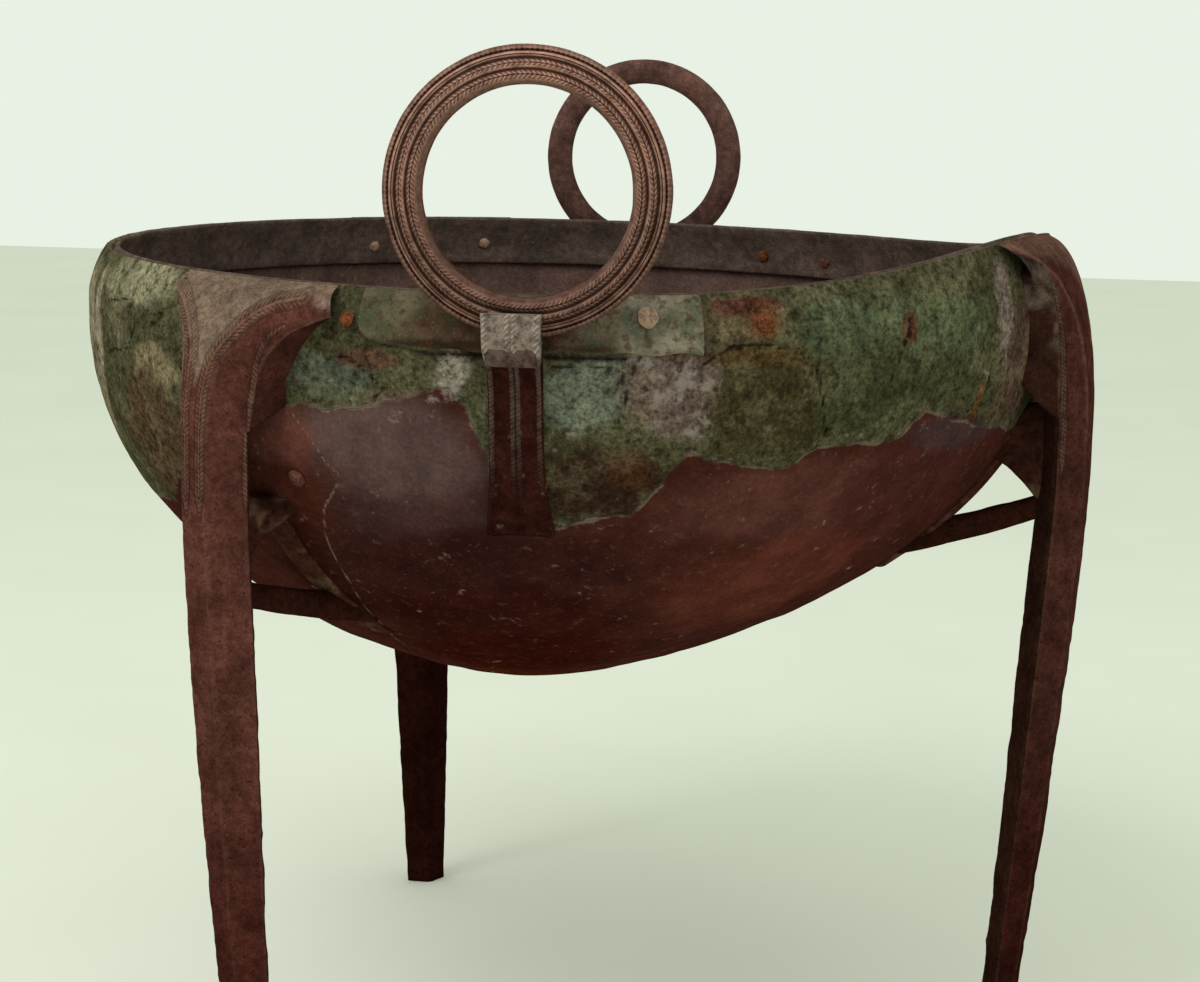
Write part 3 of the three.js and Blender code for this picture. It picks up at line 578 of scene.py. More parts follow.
# Section of the strip as distance in from the wall and drop below the lip.
BAND_SECTION = [(0, 0.5), (0, 12), (0, 24), (0, 35), (1.2, 35.6), (2.6, 35.4), (BAND_THICKNESS, 34),
                (3.5, 29), (3.3, 24), (3.6, 18), (3.3, 12), (3.5, 7), (BAND_THICKNESS, 2),
                (2.6, 0.3), (0.9, 0)]
band_azimuths = np.linspace(0, 360, 240, endpoint=False)
inward, band_drop = np.array(BAND_SECTION[::-1])[..., None].transpose(1, 0, 2)
z = lip_height(band_azimuths) - band_drop
band_points = polar(band_azimuths, wall_radius(band_azimuths, z) - LIP_WALL - 0.4 - inward, z)
band_points[..., 2] += 0.25 * cloud(band_points, 30, 2)
band_shell = shell(band_points, {"worn": np.zeros(band_points.shape[:2])}, loop=True)
band_finish, *band_parts = cast_finish("dark band bronze", "54463f", "857568", pits=0.4)
set_cast(*band_parts, 0.42)
make_piece("mouth_strip", [band_shell], band_finish, ["inner_rim_band"])

# Repair plate. A strip of sheet bronze under the front ring, its lower left corner rounded, once
# riveted over a damaged stretch of the rim; grey-green, with a gap left open under its edge.
PLATE_FROM = -13.9
PLATE_TO = 20.6
# Tones from its brown middle to its powdery right end, as on the bowl; the last, a dark strip along the
# lower edge, is painted shade over the open gap.
PLATE_TONES = [
    (-11, 505, 20, 20, "56503d"), (-3, 505, 30, 14, "4c3a2e"), (4, 499, 24, 9, "42291e"),
    (10, 508, 14, 12, "5d5546"), (16, 503, 20, 20, "756c5e"), (19.5, 503, 10, 22, "847a68"),
    (0, 492, 60, 3, "30231a"),
]
plate_azimuths = np.linspace(PLATE_FROM, PLATE_TO, 120)
bend = np.clip((PLATE_FROM + 5 - plate_azimuths) / 5, 0, 1)
plate_foot = 489.5 + 12 * (1 - np.sqrt(1 - bend * bend)) + 0.8 * np.sin(plate_azimuths * 1.1)
part = np.linspace(0, 1, 14)[:, None]
heights = plate_foot + part * (lip_height(plate_azimuths) - 0.3 - plate_foot)
wall_there = wall_radius(plate_azimuths, heights)
back = polar(plate_azimuths, wall_there + 0.6, heights)
flat = polar(plate_azimuths, wall_there + 3.0, heights)
swell = 0.35 * cloud(flat, 18, 2) + 0.25 * cloud(flat, 7, 2)
edge_round = 0.9 * (1 - np.sqrt(np.clip(1 - (1 - np.clip(part, 0, 0.06) / 0.06) ** 2, 0, 1)))
front = polar(plate_azimuths, wall_there + 3.0 + swell - edge_round, heights)
plate_points = np.concatenate([front, back[::-1]]).transpose(1, 0, 2)
plate_spread = np.broadcast_to(plate_azimuths, heights.shape)
plate_tone = paint(plate_spread, heights, front, "524b3b", PLATE_TONES, 0.5)
plate_tone = np.concatenate([plate_tone, plate_tone[::-1]]).transpose(1, 0, 2)


def plate_finish():
    """Grey-green crust thinning to brown on the left, powdery grey towards the right end, streaked white."""
    material, tree = new_finish("grey-green plate bronze")
    patches = grain(tree, 17, 4, 0.6)
    mottle = grain(tree, 5, 4, 0.62)
    fine = grain(tree, 1.2, 3, 0.6)
    colour = mottled(tree, field(tree, "tone", "Vector"), patches, 0.34, 0.66, 0.68, 1.36)
    colour = stained(tree, colour, "42513b", patches, 0.46, 0.34, 0.5)
    colour = stained(tree, colour, "42291e", mottle, 0.5, 0.66, 0.65)
    colour = stained(tree, colour, "a09a8c", fine, 0.6, 0.76, 0.4)
    colour = stained(tree, colour, "2b2018", fine, 0.44, 0.3, 0.5)
    height = raised(tree, sums(tree, "MULTIPLY", fine, 0.4), mottle, 1.0)
    set_finish(tree, colour, 0.75, height, 0.05)
    return material


plate_shell = shell(plate_points[::-1], {"tone": plate_tone[::-1]})
make_piece("plate_over_the_rim", [plate_shell], plate_finish(), ["repair_plate"])

# Legs. Each is one solid casting: a five-sided shaft tapering to its foot, a head that fans out like
# horns and hooks over the rim, and a forked bracket to the bowl. Twisted cords run up the middle of
# the front and part along the horns. Two heads have lost a side.
LEG_FRONT = 342.6
HEAD_START = 440.0
# Half section of the shaft's front, then of its back, where lines at these shares of the way to the side
# edge lie sideways and behind the front edge.
LINE_S = [0, 0.45, 0.72, 1]
LINE_U = [0, 8.3, 16.5, 25.4]
LINE_D = [0, 0.5, 7, 14.5]
BACK_U = [0, 4, 14, 25]
BACK_D = [31.2, 30.5, 24, 16.5]


def leg_front(z):
    """Radius of the front edge: straight down to 400 mm, then bending in towards the foot."""
    return LEG_FRONT - 36.7 * np.clip(1 - z / 400, 0, 1) ** 1.3


def leg_size(z):
    """Share of the full section that is left at a height."""
    return 1 - 0.42 * np.clip(1 - z / 350, 0, 1) ** 1.6


def bezier(t, a, b, c, d):
    """Cubic curve through a and d, drawn towards b and c."""
    r = 1 - t
    return r**3 * a + 3 * r * r * t * b + 3 * r * t * t * c + t**3 * d


def mixed(a, b, t):
    """Value between a and b."""
    return a + (b - a) * t


def head_front(leg, s, t):
    """Front of the head: lines leave the shaft upright and fan out to the lip or to the horn's tip."""
    corner = np.where(s < 0, leg["left"][0], leg["right"][0])
    tip = np.where(s < 0, leg["left"][1], leg["right"][1])
    line = np.abs(s)
    line_u = np.interp(line, LINE_S, LINE_U)
    line_d = np.interp(line, LINE_S, LINE_D)
    fan = np.clip(line / 0.45, 0, 1)
    drop = np.clip((line - 0.45) / 0.55, 0, 1)
    u = bezier(t, line_u, line_u, mixed(30 * fan, 0.53 * tip, drop), mixed(corner * fan, tip, drop))
    first = mixed(mixed(0.37, 0.7, fan), 0.42, drop)
    second = mixed(mixed(0.74, 0.89, fan), 0.67, drop)
    w = np.clip(bezier(t, 0, first, second, mixed(1, 0.8, drop)), 0, 1)
    hook = (1 - w**1.9) ** (1 / 1.9)
    wall_there = wall_radius(leg["azimuth"], mixed(HEAD_START, lip_height(leg["azimuth"]), w))
    crown = np.maximum(mixed(298 + 44.6 * hook - wall_there, 9, drop * t * t), 3)
    return u, w, np.maximum(crown - line_d * (1 - smooth(t, 0, 0.8)), 3)


def head_back(leg, s, t):
    """Back of the head: it leaves the shaft's back and spreads at once onto the bowl."""
    tip = np.where(s < 0, leg["left"][1], leg["right"][1])
    line = np.abs(s)
    settle = smooth(t, 0, 0.14)
    u = mixed(np.interp(line, LINE_S, BACK_U), mixed(39, tip - 3, t**2.3) * line, settle)
    foot_w = mixed(0.1 + 0.88 * t, 0.14 + 0.66 * t**1.1, line)
    start = LEG_FRONT - np.interp(line, LINE_S, BACK_D) - wall_radius(leg["azimuth"], HEAD_START)
    return u, foot_w * settle, mixed(start, -2, settle)


# Middle lines of the cords on a leg's front, as sideways distance and height: two braids from the
# shaft to the rim, and a twisted cord along the right edge, the left edge or the left edge that broke.
BRAIDS = [
    [(2.6, 388), (2.7, 440), (3.6, 462), (5.4, 474), (8.4, 482), (13.4, 489.5), (20, 498.5), (28, 505.5),
     (37, 510), (51, 513)],
    [(-7.8, 388), (-7.8, 440), (-7.2, 462), (-8.2, 477), (-11.5, 487), (-20, 499), (-31, 507.5), (-47, 514)],
]
RIGHT_CORD = [(24.6, 385), (25, 430), (25.8, 455), (28.3, 468), (30, 477), (32.6, 485), (37.6, 493),
              (45, 498)]
LEFT_CORD = [(-u, z) for u, z in RIGHT_CORD]
BROKEN_CORD = [(-23.2, 388), (-23.2, 460), (-25, 483), (-28, 498), (-32, 510), (-35, 519)]
# Paler field between the braids.
BETWEEN_BRAIDS = [(-3, 462), (-9, 486), (-17, 497), (-29, 506), (-46, 513), (-60, 530), (80, 530), (74, 516),
                  (52, 515), (34, 511.5), (26, 507), (18, 499), (10, 488), (4, 476)]
# Each leg: where it stands, how much higher its bracket sits and how much fuller its web is, reach of
# the head's corner and horn on either side, foot of its cords, tones of its upper and lower shaft and
# the painted shade of the faces towards the bowl, and fields of other tones on its front: outline, tone
# and soft border.
LEGS = [
    {"place": "front_left", "azimuth": -29.2, "lift": 0, "fill": 0, "left": (50, 38), "right": (66, 71),
     "cord_foot": 390, "braids": BRAIDS, "cords": [RIGHT_CORD, LEFT_CORD],
     "tones": ("4f2e28", "3f1f1a", "391e19"), "fields": [
         (BETWEEN_BRAIDS, "69574a", 2.5),
         ([(-13, 440), (-13, 480), (-30, 505), (-60, 520), (-60, 440)], "66524a", 4),
         ([(54, 517), (64, 516), (75, 512), (75, 504), (68, 508), (58, 511)], "6b574e", 3)]},
    {"place": "right", "azimuth": 74.5, "lift": 38, "fill": 12, "left": (70, 50), "right": (66, 71),
     "cord_foot": 400, "braids": [], "cords": [RIGHT_CORD, BROKEN_CORD],
     "tones": ("3f231e", "2f1410", "2a1912"), "fields": [
         ([(6, 478), (9, 489.5), (13, 504), (13, 516), (8, 527), (-20, 534), (-62, 537), (-80, 560),
           (80, 560), (80, 520), (52, 512), (26, 500), (18, 488)], "5c4138", 7),
         # Left of the broken cord, painted shade in the hollow where the side was lost.
         ([(-23, 425), (-23, 460), (-25, 483), (-28, 498), (-32, 510), (-35, 519), (-42, 533), (-75, 540),
           (-75, 425)], "1f130f", 1.5),
         ([(-33, 505), (-38, 528), (-60, 532), (-62, 496), (-48, 488)], "54463f", 7)]},
    {"place": "back", "azimuth": 210.0, "lift": 12, "fill": 0, "left": (66, 71), "right": (66, 71),
     "cord_foot": 395, "braids": BRAIDS, "cords": [RIGHT_CORD, LEFT_CORD],
     "tones": ("3f221c", "35190f", "1f0b08"), "fields": [(BETWEEN_BRAIDS, "6b564a", 3)]},
]


def leg_fields(leg, u, z, s, front, points):
    """What the leg's finish reads: place across the cords, strands along them and tone.

    Across is 0 on a braid's middle ridge and 1 on the row of strokes at either side of it."""
    row = mixed(1.85, 2.9, smooth(z, 455, 492))
    across = np.full(u.shape, 9.0)
    strand = np.zeros(u.shape)
    routes = [(route, row, 0.0) for route in leg["braids"]] + [(route, 1.1, 0.45) for route in leg["cords"]]
    for route, scale, start in routes:
        away, side, along = to_route(u, z, route)
        nearer = start + away / scale < across
        across = np.where(nearer, start + away / scale, across)
        strand = np.where(nearer, along / 2.7 - np.where(start > 0, side, 1) * away * 0.34, strand)
    across = np.where(front, across + np.clip(leg["cord_foot"] + 14 - z, 0, 99) * 0.1, 9.0)
    upper, lower, behind = leg["tones"]
    colour = mixed(tone(upper), tone(lower), smooth(-z, -300, -120)[..., None])
    wave = 3 * cloud(points, 10, 3)
    for outline, code, soft in leg["fields"]:
        share = smooth(in_outline(u, z, outline) + wave, -soft, soft) * front
        colour += share[..., None] * (tone(code) - colour)
    # Painted shade: the head's flanks and all faces towards the bowl take the dark third tone, standing in
    # for the bowl's shadow.
    painted_shade_share = np.where(front, smooth(np.abs(s), 0.8, 1.0) * smooth(z, 430, 455), 1.0)
    colour = mixed(colour, tone(behind), painted_shade_share[..., None] * 0.85)
    if leg["place"] == "right":
        # Grey and rough where the bowl's crust was torn away beside the head.
        torn = np.where(front, 0, 0.75) * smooth(cloud(points, 15, 3), 0.0, 0.45) * smooth(z, 465, 500)
        colour = mixed(colour, tone("6a5b52"), torn[..., None])
    return across, strand, colour


def with_flanks(values, edge):
    """The columns with five more on each flank, between an edge of the front and the back."""
    shares = (0.06, 0.2, 0.4, 0.6, 0.8)
    right = [mixed(values[:, edge - 1], values[:, edge], share) for share in shares]
    left = [mixed(values[:, 0], values[:, -1], share) for share in reversed(shares)]
    columns = [values[:, :edge], np.stack(right, 1), values[:, edge:], np.stack(left, 1)]
    return np.concatenate(columns, axis=1)


def leg_shell(leg):
    """Closed skin of shaft and head: rows from the foot to the rim, columns round the section."""
    front_s = spaced([-1, -0.45, 0.45, 1], [26, 90, 26])
    edge = len(front_s)
    s = np.concatenate([front_s, np.linspace(0.97, -0.97, 36)])[None, :]
    front = np.arange(s.size)[None, :] < edge
    side = np.where(s < 0, -1.0, 1.0)
    line = np.abs(s)
    # The middle of the front stands a little to the left of the leg's line.
    shift = -3 * np.clip((1 - line) / 0.55, 0, 1) * front
    shaft_z = spaced([0, 372, HEAD_START], [90, 52])[:-1, None] + 0 * s
    size = leg_size(shaft_z)
    section_u = np.where(front, np.interp(line, LINE_S, LINE_U), np.interp(line, LINE_S, BACK_U))
    section_d = np.where(front, np.interp(line, LINE_S, LINE_D), np.interp(line, LINE_S, BACK_D))
    shaft_u = (side * section_u + shift) * size
    shaft = polar(leg["azimuth"], leg_front(shaft_z) - section_d * size, shaft_z, shaft_u)
    t = np.linspace(0, 1, 132)[:, None] + 0 * s
    front_and_back = zip(head_front(leg, s, t), head_back(leg, s, t))
    head_u, w, stand = [np.where(front, ahead, behind) for ahead, behind in front_and_back]
    head_u = side * head_u + shift * (1 - smooth(t, 0.05, 0.5))
    azimuth = leg["azimuth"] + np.degrees(head_u / WIDEST)
    head_z = mixed(HEAD_START, lip_height(azimuth), w)
    head = polar(azimuth, wall_radius(azimuth, head_z) + stand, head_z)
    rows = [np.concatenate(pair) for pair in ((shaft, head), (shaft_u, head_u), (shaft_z, head_z))]
    points, u, z, s, front = [with_flanks(values, edge) for values in (*rows, s, front.astype(float))]
    front = front > 0.99
    across, strand, colour = leg_fields(leg, u, z, s, front, points)
    bead = np.exp(-(((across - 1) / 0.5) ** 2)) + np.exp(-((across / 0.3) ** 2))
    rough_part = smooth(-z, -430, -250)
    relief = 0.6 * bead + (0.3 + 0.8 * rough_part) * cloud(points, 14, 3)
    relief += 0.22 * cloud(points, 4.5, 2) * (0.4 + 2 * rough_part)
    relief += np.where(front, 0, 0.9 * smooth(z, 430, 460)) * cloud(points, 9, 3)
    ridge = np.exp(-(((np.abs(s) - 0.45) / 0.05) ** 2)) + np.exp(-(((np.abs(s) - 1) / 0.04) ** 2))
    # Paler on the arrises and the cord tops: partly wear, partly painted highlight.
    worn = np.where(front, (0.1 + 0.2 * smooth(z, 400, 470)) * ridge + 0.5 * bead, 0.0)
    points = points + grid_normals(points) * relief[..., None]
    return shell(points, {"across": across, "strand": strand, "worn": np.clip(worn, 0, 1), "tone": colour})


def plain_fields(points, worn, code):
    """Fields of a part without cords: one tone, worn by this share."""
    blank = np.zeros(points.shape[:2])
    colour = blank[..., None] + tone(code)
    return {"across": blank + 9, "strand": blank, "worn": blank + worn, "tone": colour}


def end_in_wall(points):
    """The grid with rows added that shrink to the middle of its last one, kept within the bowl's wall."""
    last = points[-1]
    middle = last.mean(0)
    closing = [middle + share * (last - middle) for share in (0.75, 0.5, 0.25, 0.06)]
    grid = np.concatenate([points, closing])
    x, y = grid[..., 0] - AXIS_X, AXIS_Y - grid[..., 1]
    azimuth = np.degrees(np.arctan2(x, y))
    radius = np.maximum(np.hypot(x, y), wall_radius(azimuth, grid[..., 2]) - 1.6)
    return polar(azimuth, radius, grid[..., 2])


def around(count):
    """Angles of this many even steps round a circle."""
    return np.arange(count) * 2 * pi / count


def squared(value, power):
    """Sine or cosine drawn towards -1 and 1 by a power below 1, which squares up a round section."""
    return np.sign(value) * np.abs(value) ** power


def bar_shell(azimuth, start, end):
    """Lower arm of the bracket: an oval bar from a point (radius, height) to another, lumpy as cast."""
    t = np.linspace(0, 1, 26)[:, None]
    turn = around(28)
    along = np.array([end[0] - start[0], end[1] - start[1]])
    along = along / np.hypot(*along)
    # Towards the bowl the arm grows upwards and thins below, so that it flows into the wall.
    grown = np.where(np.sin(turn) > 0, 1 + 1.1 * t * t, 1 - 0.6 * t**3)
    across = 7.3 * grown * squared(np.sin(turn), 0.8)
    sideways = np.interp(t, np.linspace(0, 1, 4), [7, 6, 7, 12]) * squared(np.cos(turn), 0.8)
    radius = mixed(start[0], end[0], t) + along[1] * across
    z = mixed(start[1], end[1], t) - along[0] * across
    points = end_in_wall(lumpy(polar(azimuth, radius, z, sideways), 0.7, 11, 3))
    return shell(points, plain_fields(points, 0.03, "2c130e"))


def web_shell(leg):
    """Upper arm: a thick web that spreads like a fan onto the bowl."""
    t = np.linspace(0, 1, 30)[:, None]
    turn = around(44)
    bowl_foot = 383 + leg["lift"] * 0.68
    radius = mixed(LEG_FRONT - 26, float(wall_radius(leg["azimuth"], bowl_foot)) - 9, t)
    foot = mixed(352 + leg["lift"] - leg["fill"], bowl_foot, 1 - (1 - t) ** 1.8)
    top = mixed(397 + leg["lift"] + leg["fill"], 398 + leg["lift"], t)
    up = 0.5 + 0.5 * squared(np.sin(turn), 0.7)
    half = mixed(mixed(9, 14.4, t), mixed(9, 42, t * t), up)
    sideways = half * squared(np.cos(turn), 0.7)
    points = polar(leg["azimuth"], radius + 0 * turn, mixed(foot, top, up), -sideways)
    points = end_in_wall(lumpy(points, 0.7, 11, 3))
    worn = 0.05 + 0.5 * smooth(cloud(points, 10, 3), 0.05, 0.5)
    return shell(points, plain_fields(points, worn, "2c130e"))


def seat_shell(leg):
    """Strip along the bowl that both arms stand on, with rounded edges."""
    z = np.linspace(300 + leg["lift"] * 0.9, 393 + leg["lift"] * 0.68, 40)[:, None]
    side = np.array([-1, -1, -0.93, -0.75, -0.4, 0, 0.4, 0.75, 0.93, 1, 1, 0.5, 0, -0.5])[None, :]
    stand = np.array([-1.5, 1.2, 2.8, 3.8, 4.2, 4.2, 4.2, 3.8, 2.8, 1.2, -1.5, -1.5, -1.5, -1.5])[None, :]
    points = polar(leg["azimuth"], wall_radius(leg["azimuth"], z) + stand, z, side * 9)
    points = lumpy(points, 0.4, 9, 2)
    worn = 0.1 + 0.5 * smooth(cloud(points, 12, 2), 0.0, 0.5)
    return shell(points, plain_fields(points, worn, "3a1c14"))


def strand_cuts(tree):
    """Slanting cuts between the strands of a cord."""
    across = field(tree, "across")
    rows = sums(tree, "MULTIPLY", fade(tree, across, 0.25, 0.5), fade(tree, across, 1.75, 1.45))
    twist = sums(tree, "SINE", sums(tree, "MULTIPLY", field(tree, "strand"), 2 * pi))
    return sums(tree, "MULTIPLY", fade(tree, twist, -0.75, 0.45, 1.0, 0.0), rows)


def distance(tree, value, middle):
    """How far a value lies from a middle."""
    return sums(tree, "ABSOLUTE", sums(tree, "SUBTRACT", value, middle))


def leg_finish():
    """Cast bronze with the twist of the cords cut into it and fine lines beside them."""
    material, tree, colour, height = cast_finish("dark leg bronze with wear and painted light and shade", None, "7d6151", pits=0.8)
    cuts = strand_cuts(tree)
    lines = fade(tree, distance(tree, field(tree, "across"), 1.85), 0.0, 0.3, 1.0, 0.0)
    colour = tinted(tree, tinted(tree, colour, "2c1612", cuts, 0.42), "2c1612", lines, 0.4)
    height = raised(tree, raised(tree, height, cuts, -0.7), lines, -0.4)
    set_cast(tree, colour, height, 0.35)
    return material


leg_bronze = leg_finish()
for leg in LEGS:
    leg_z = 343 + leg["lift"]
    bowl_z = 312 + 0.9 * leg["lift"]
    bar_ends = (leg_front(leg_z) - 28, leg_z), (wall_radius(leg["azimuth"], bowl_z) - 2, bowl_z)
    shells = [leg_shell(leg), bar_shell(leg["azimuth"], *bar_ends), web_shell(leg), seat_shell(leg)]
    make_piece("cast_leg_" + leg["place"], shells, leg_bronze, ["leg_" + leg["place"]])

# Ring handles. Solid cast rings that stand on the rim, the front one with grooves and rope bands on
# its face, the back one plain on the side that shows.
RING_RADIUS = 75.5
RING_OUT = 326.5
RING_HEIGHT = 574.5
FRONT_RING = 3.4
BACK_RING = 179
# Outlines of the faces and of the back: share of the way from the rim to the hole, and depth outwards.
RIBBED = [(0, 2), (0.03, 3.6), (0.07, 4.2), (0.12, 4.0), (0.15, 3.2), (0.18, 4.6), (0.24, 5.4), (0.3, 5),
          (0.34, 4.4), (0.37, 5.4), (0.44, 6.9), (0.5, 8), (0.53, 7.4), (0.58, 7.2), (0.62, 6.6),
          (0.66, 6.9), (0.7, 8), (0.77, 8.8), (0.85, 8.2), (0.93, 5.4), (0.98, 2.6), (1, 1.5)]
PLAIN = [(0, 2), (0.05, 4), (0.2, 6), (0.4, 7.3), (0.6, 8), (0.8, 7.3), (0.95, 4), (1, 1.5)]
RING_BACK = [(1, -4), (0.95, -6), (0.8, -8), (0.6, -9.1), (0.4, -9.5), (0.2, -8.6), (0.05, -6.6), (0, -5)]
# Rope bands across the face: middle, half width, strokes round the ring and slant.
ROPE_BANDS = [(0.13, 0.03, 170, 0), (0.405, 0.045, 150, 55), (0.49, 0.04, 150, -55), (0.7, 0.05, 150, 55),
              (0.8, 0.06, 150, -55)]
# Dark grooves: middle and width.
GROOVES = [(0.15, 0.03), (0.34, 0.045), (0.62, 0.045), (0.25, 0.014), (0.455, 0.012), (0.75, 0.014)]


def ring_shell(azimuth, hole, face, columns):
    """Section carried round a circle: across runs from the rim (0) to the hole (1), depth outwards."""
    width = RING_RADIUS - hole
    outline = np.array(face + RING_BACK)
    steps = np.hypot(np.diff(outline[:, 0]) * width, np.diff(outline[:, 1]))
    lengths = np.concatenate([[0], np.cumsum(steps)])
    even = np.linspace(0, lengths[-1], 84)
    across = np.interp(even, lengths, outline[:, 0])
    depth = np.interp(even, lengths, outline[:, 1])
    turn = around(columns)[:, None]
    radius = RING_RADIUS - across * width
    z = RING_HEIGHT + radius * np.cos(turn)
    points = polar(azimuth, RING_OUT + depth + 0 * turn, z, radius * np.sin(turn))
    points = lumpy(points, 0.2, 9, 2, loop=True)
    on_face = np.where(even <= lengths[len(face) - 1], 1.0, 0.0)
    fields = {"across": across * on_face - (1 - on_face), "worn": 0.4 * on_face}
    fields = {name: np.broadcast_to(values, points.shape[:2]) for name, values in fields.items()}
    return shell(points, fields, loop=True)


def rope_band(tree, across, middle, half, strokes, slant, angle):
    """Strokes round the ring within a band of its face, slanting with the distance across it."""
    inside = fade(tree, distance(tree, across, middle), half, 0.75 * half)
    count = sums(tree, "MULTIPLY_ADD", angle, strokes, sums(tree, "MULTIPLY", across, slant))
    return sums(tree, "MULTIPLY", inside, fade(tree, sums(tree, "SINE", count), -0.6, 0.5, 1.0, 0.0))


def ring_finish(name, base, light, azimuth=None):
    """Reddish cast bronze with painted light, paler towards the top and darker towards the foot; on a ribbed
    face painted shade at the rim and the hole, dark grooves between the bands and rope strokes on them.

    The strokes follow the angle round the ring, so the place is first turned back by the azimuth."""
    material, tree, colour, height = cast_finish(name, base, light, pits=0.3, blotch=18.0)
    place = add_node(tree, "ShaderNodeTexCoord", {}).outputs["Object"]
    level = add_node(tree, "ShaderNodeSeparateXYZ", {"Vector": place}).outputs[2]
    # Painted light and shade: paler towards the top, darker towards the foot that the strap holds.
    colour = mottled(tree, colour, level, (RING_HEIGHT - 65) / 1000, (RING_HEIGHT + 65) / 1000, 0.72, 1.3)
    if azimuth is not None:
        middle = polar(azimuth, RING_OUT, RING_HEIGHT) / 1000
        sockets = {"Vector": place, "Center": middle, "Angle": -radians(azimuth)}
        turned = add_node(tree, "ShaderNodeVectorRotate", sockets, rotation_type="Z_AXIS").outputs[0]
        parts = add_node(tree, "ShaderNodeSeparateXYZ", {"Vector": turned})
        x = sums(tree, "SUBTRACT", parts.outputs[0], middle[0])
        z = sums(tree, "SUBTRACT", parts.outputs[2], middle[2])
        angle = sums(tree, "ARCTAN2", z, x)
        across = field(tree, "across")
        # Painted shade on the outer rim and on the face turning into the hole.
        colour = mottled(tree, colour, across, 0.02, 0.14, 0.55, 1.05)
        colour = mottled(tree, colour, across, 0.82, 0.93, 1.0, 0.5)
        cuts = sums(tree, "MULTIPLY", rope_band(tree, across, 0.03, 0.05, 170, 0.0, angle), 0.5)
        for band in ROPE_BANDS:
            cuts = sums(tree, "MAXIMUM", cuts, rope_band(tree, across, *band, angle))
        grooves = 0.0
        for centre, wide in GROOVES:
            dip = fade(tree, distance(tree, across, centre), 0.3 * wide, 1.4 * wide, 1.0, 0.0)
            grooves = sums(tree, "MAXIMUM", grooves, dip)
        colour = tinted(tree, tinted(tree, colour, "30140e", cuts, 0.6), "200c07", grooves, 0.92)
        height = raised(tree, raised(tree, height, cuts, -0.6), grooves, -0.6)
    set_cast(tree, colour, height, 0.35)
    return material


ring = ring_shell(FRONT_RING, 55, RIBBED, 300)
finish = ring_finish("ribbed ring", "7d4f41", "a89184", FRONT_RING)
make_piece("ribbed_ring", [ring], finish, ["ring_handle_front"])
ring = ring_shell(BACK_RING, 57, PLAIN, 240)
finish = ring_finish("plain ring", "513933", "7d6b64")
make_piece("plain_ring", [ring], finish, ["ring_handle_back"])

# Straps. A cast strap grips the foot of each ring, with a lug behind it, and runs down the bowl as a
# flat bar with braided ribs along its edges and a double rib up its middle.
STRAP_TOP = 512.0
STRAP_FOOT = 387.0
EDGE_RIB = 0.87
MIDDLE_RIB = 0.1
LUG_HALF = 13.5


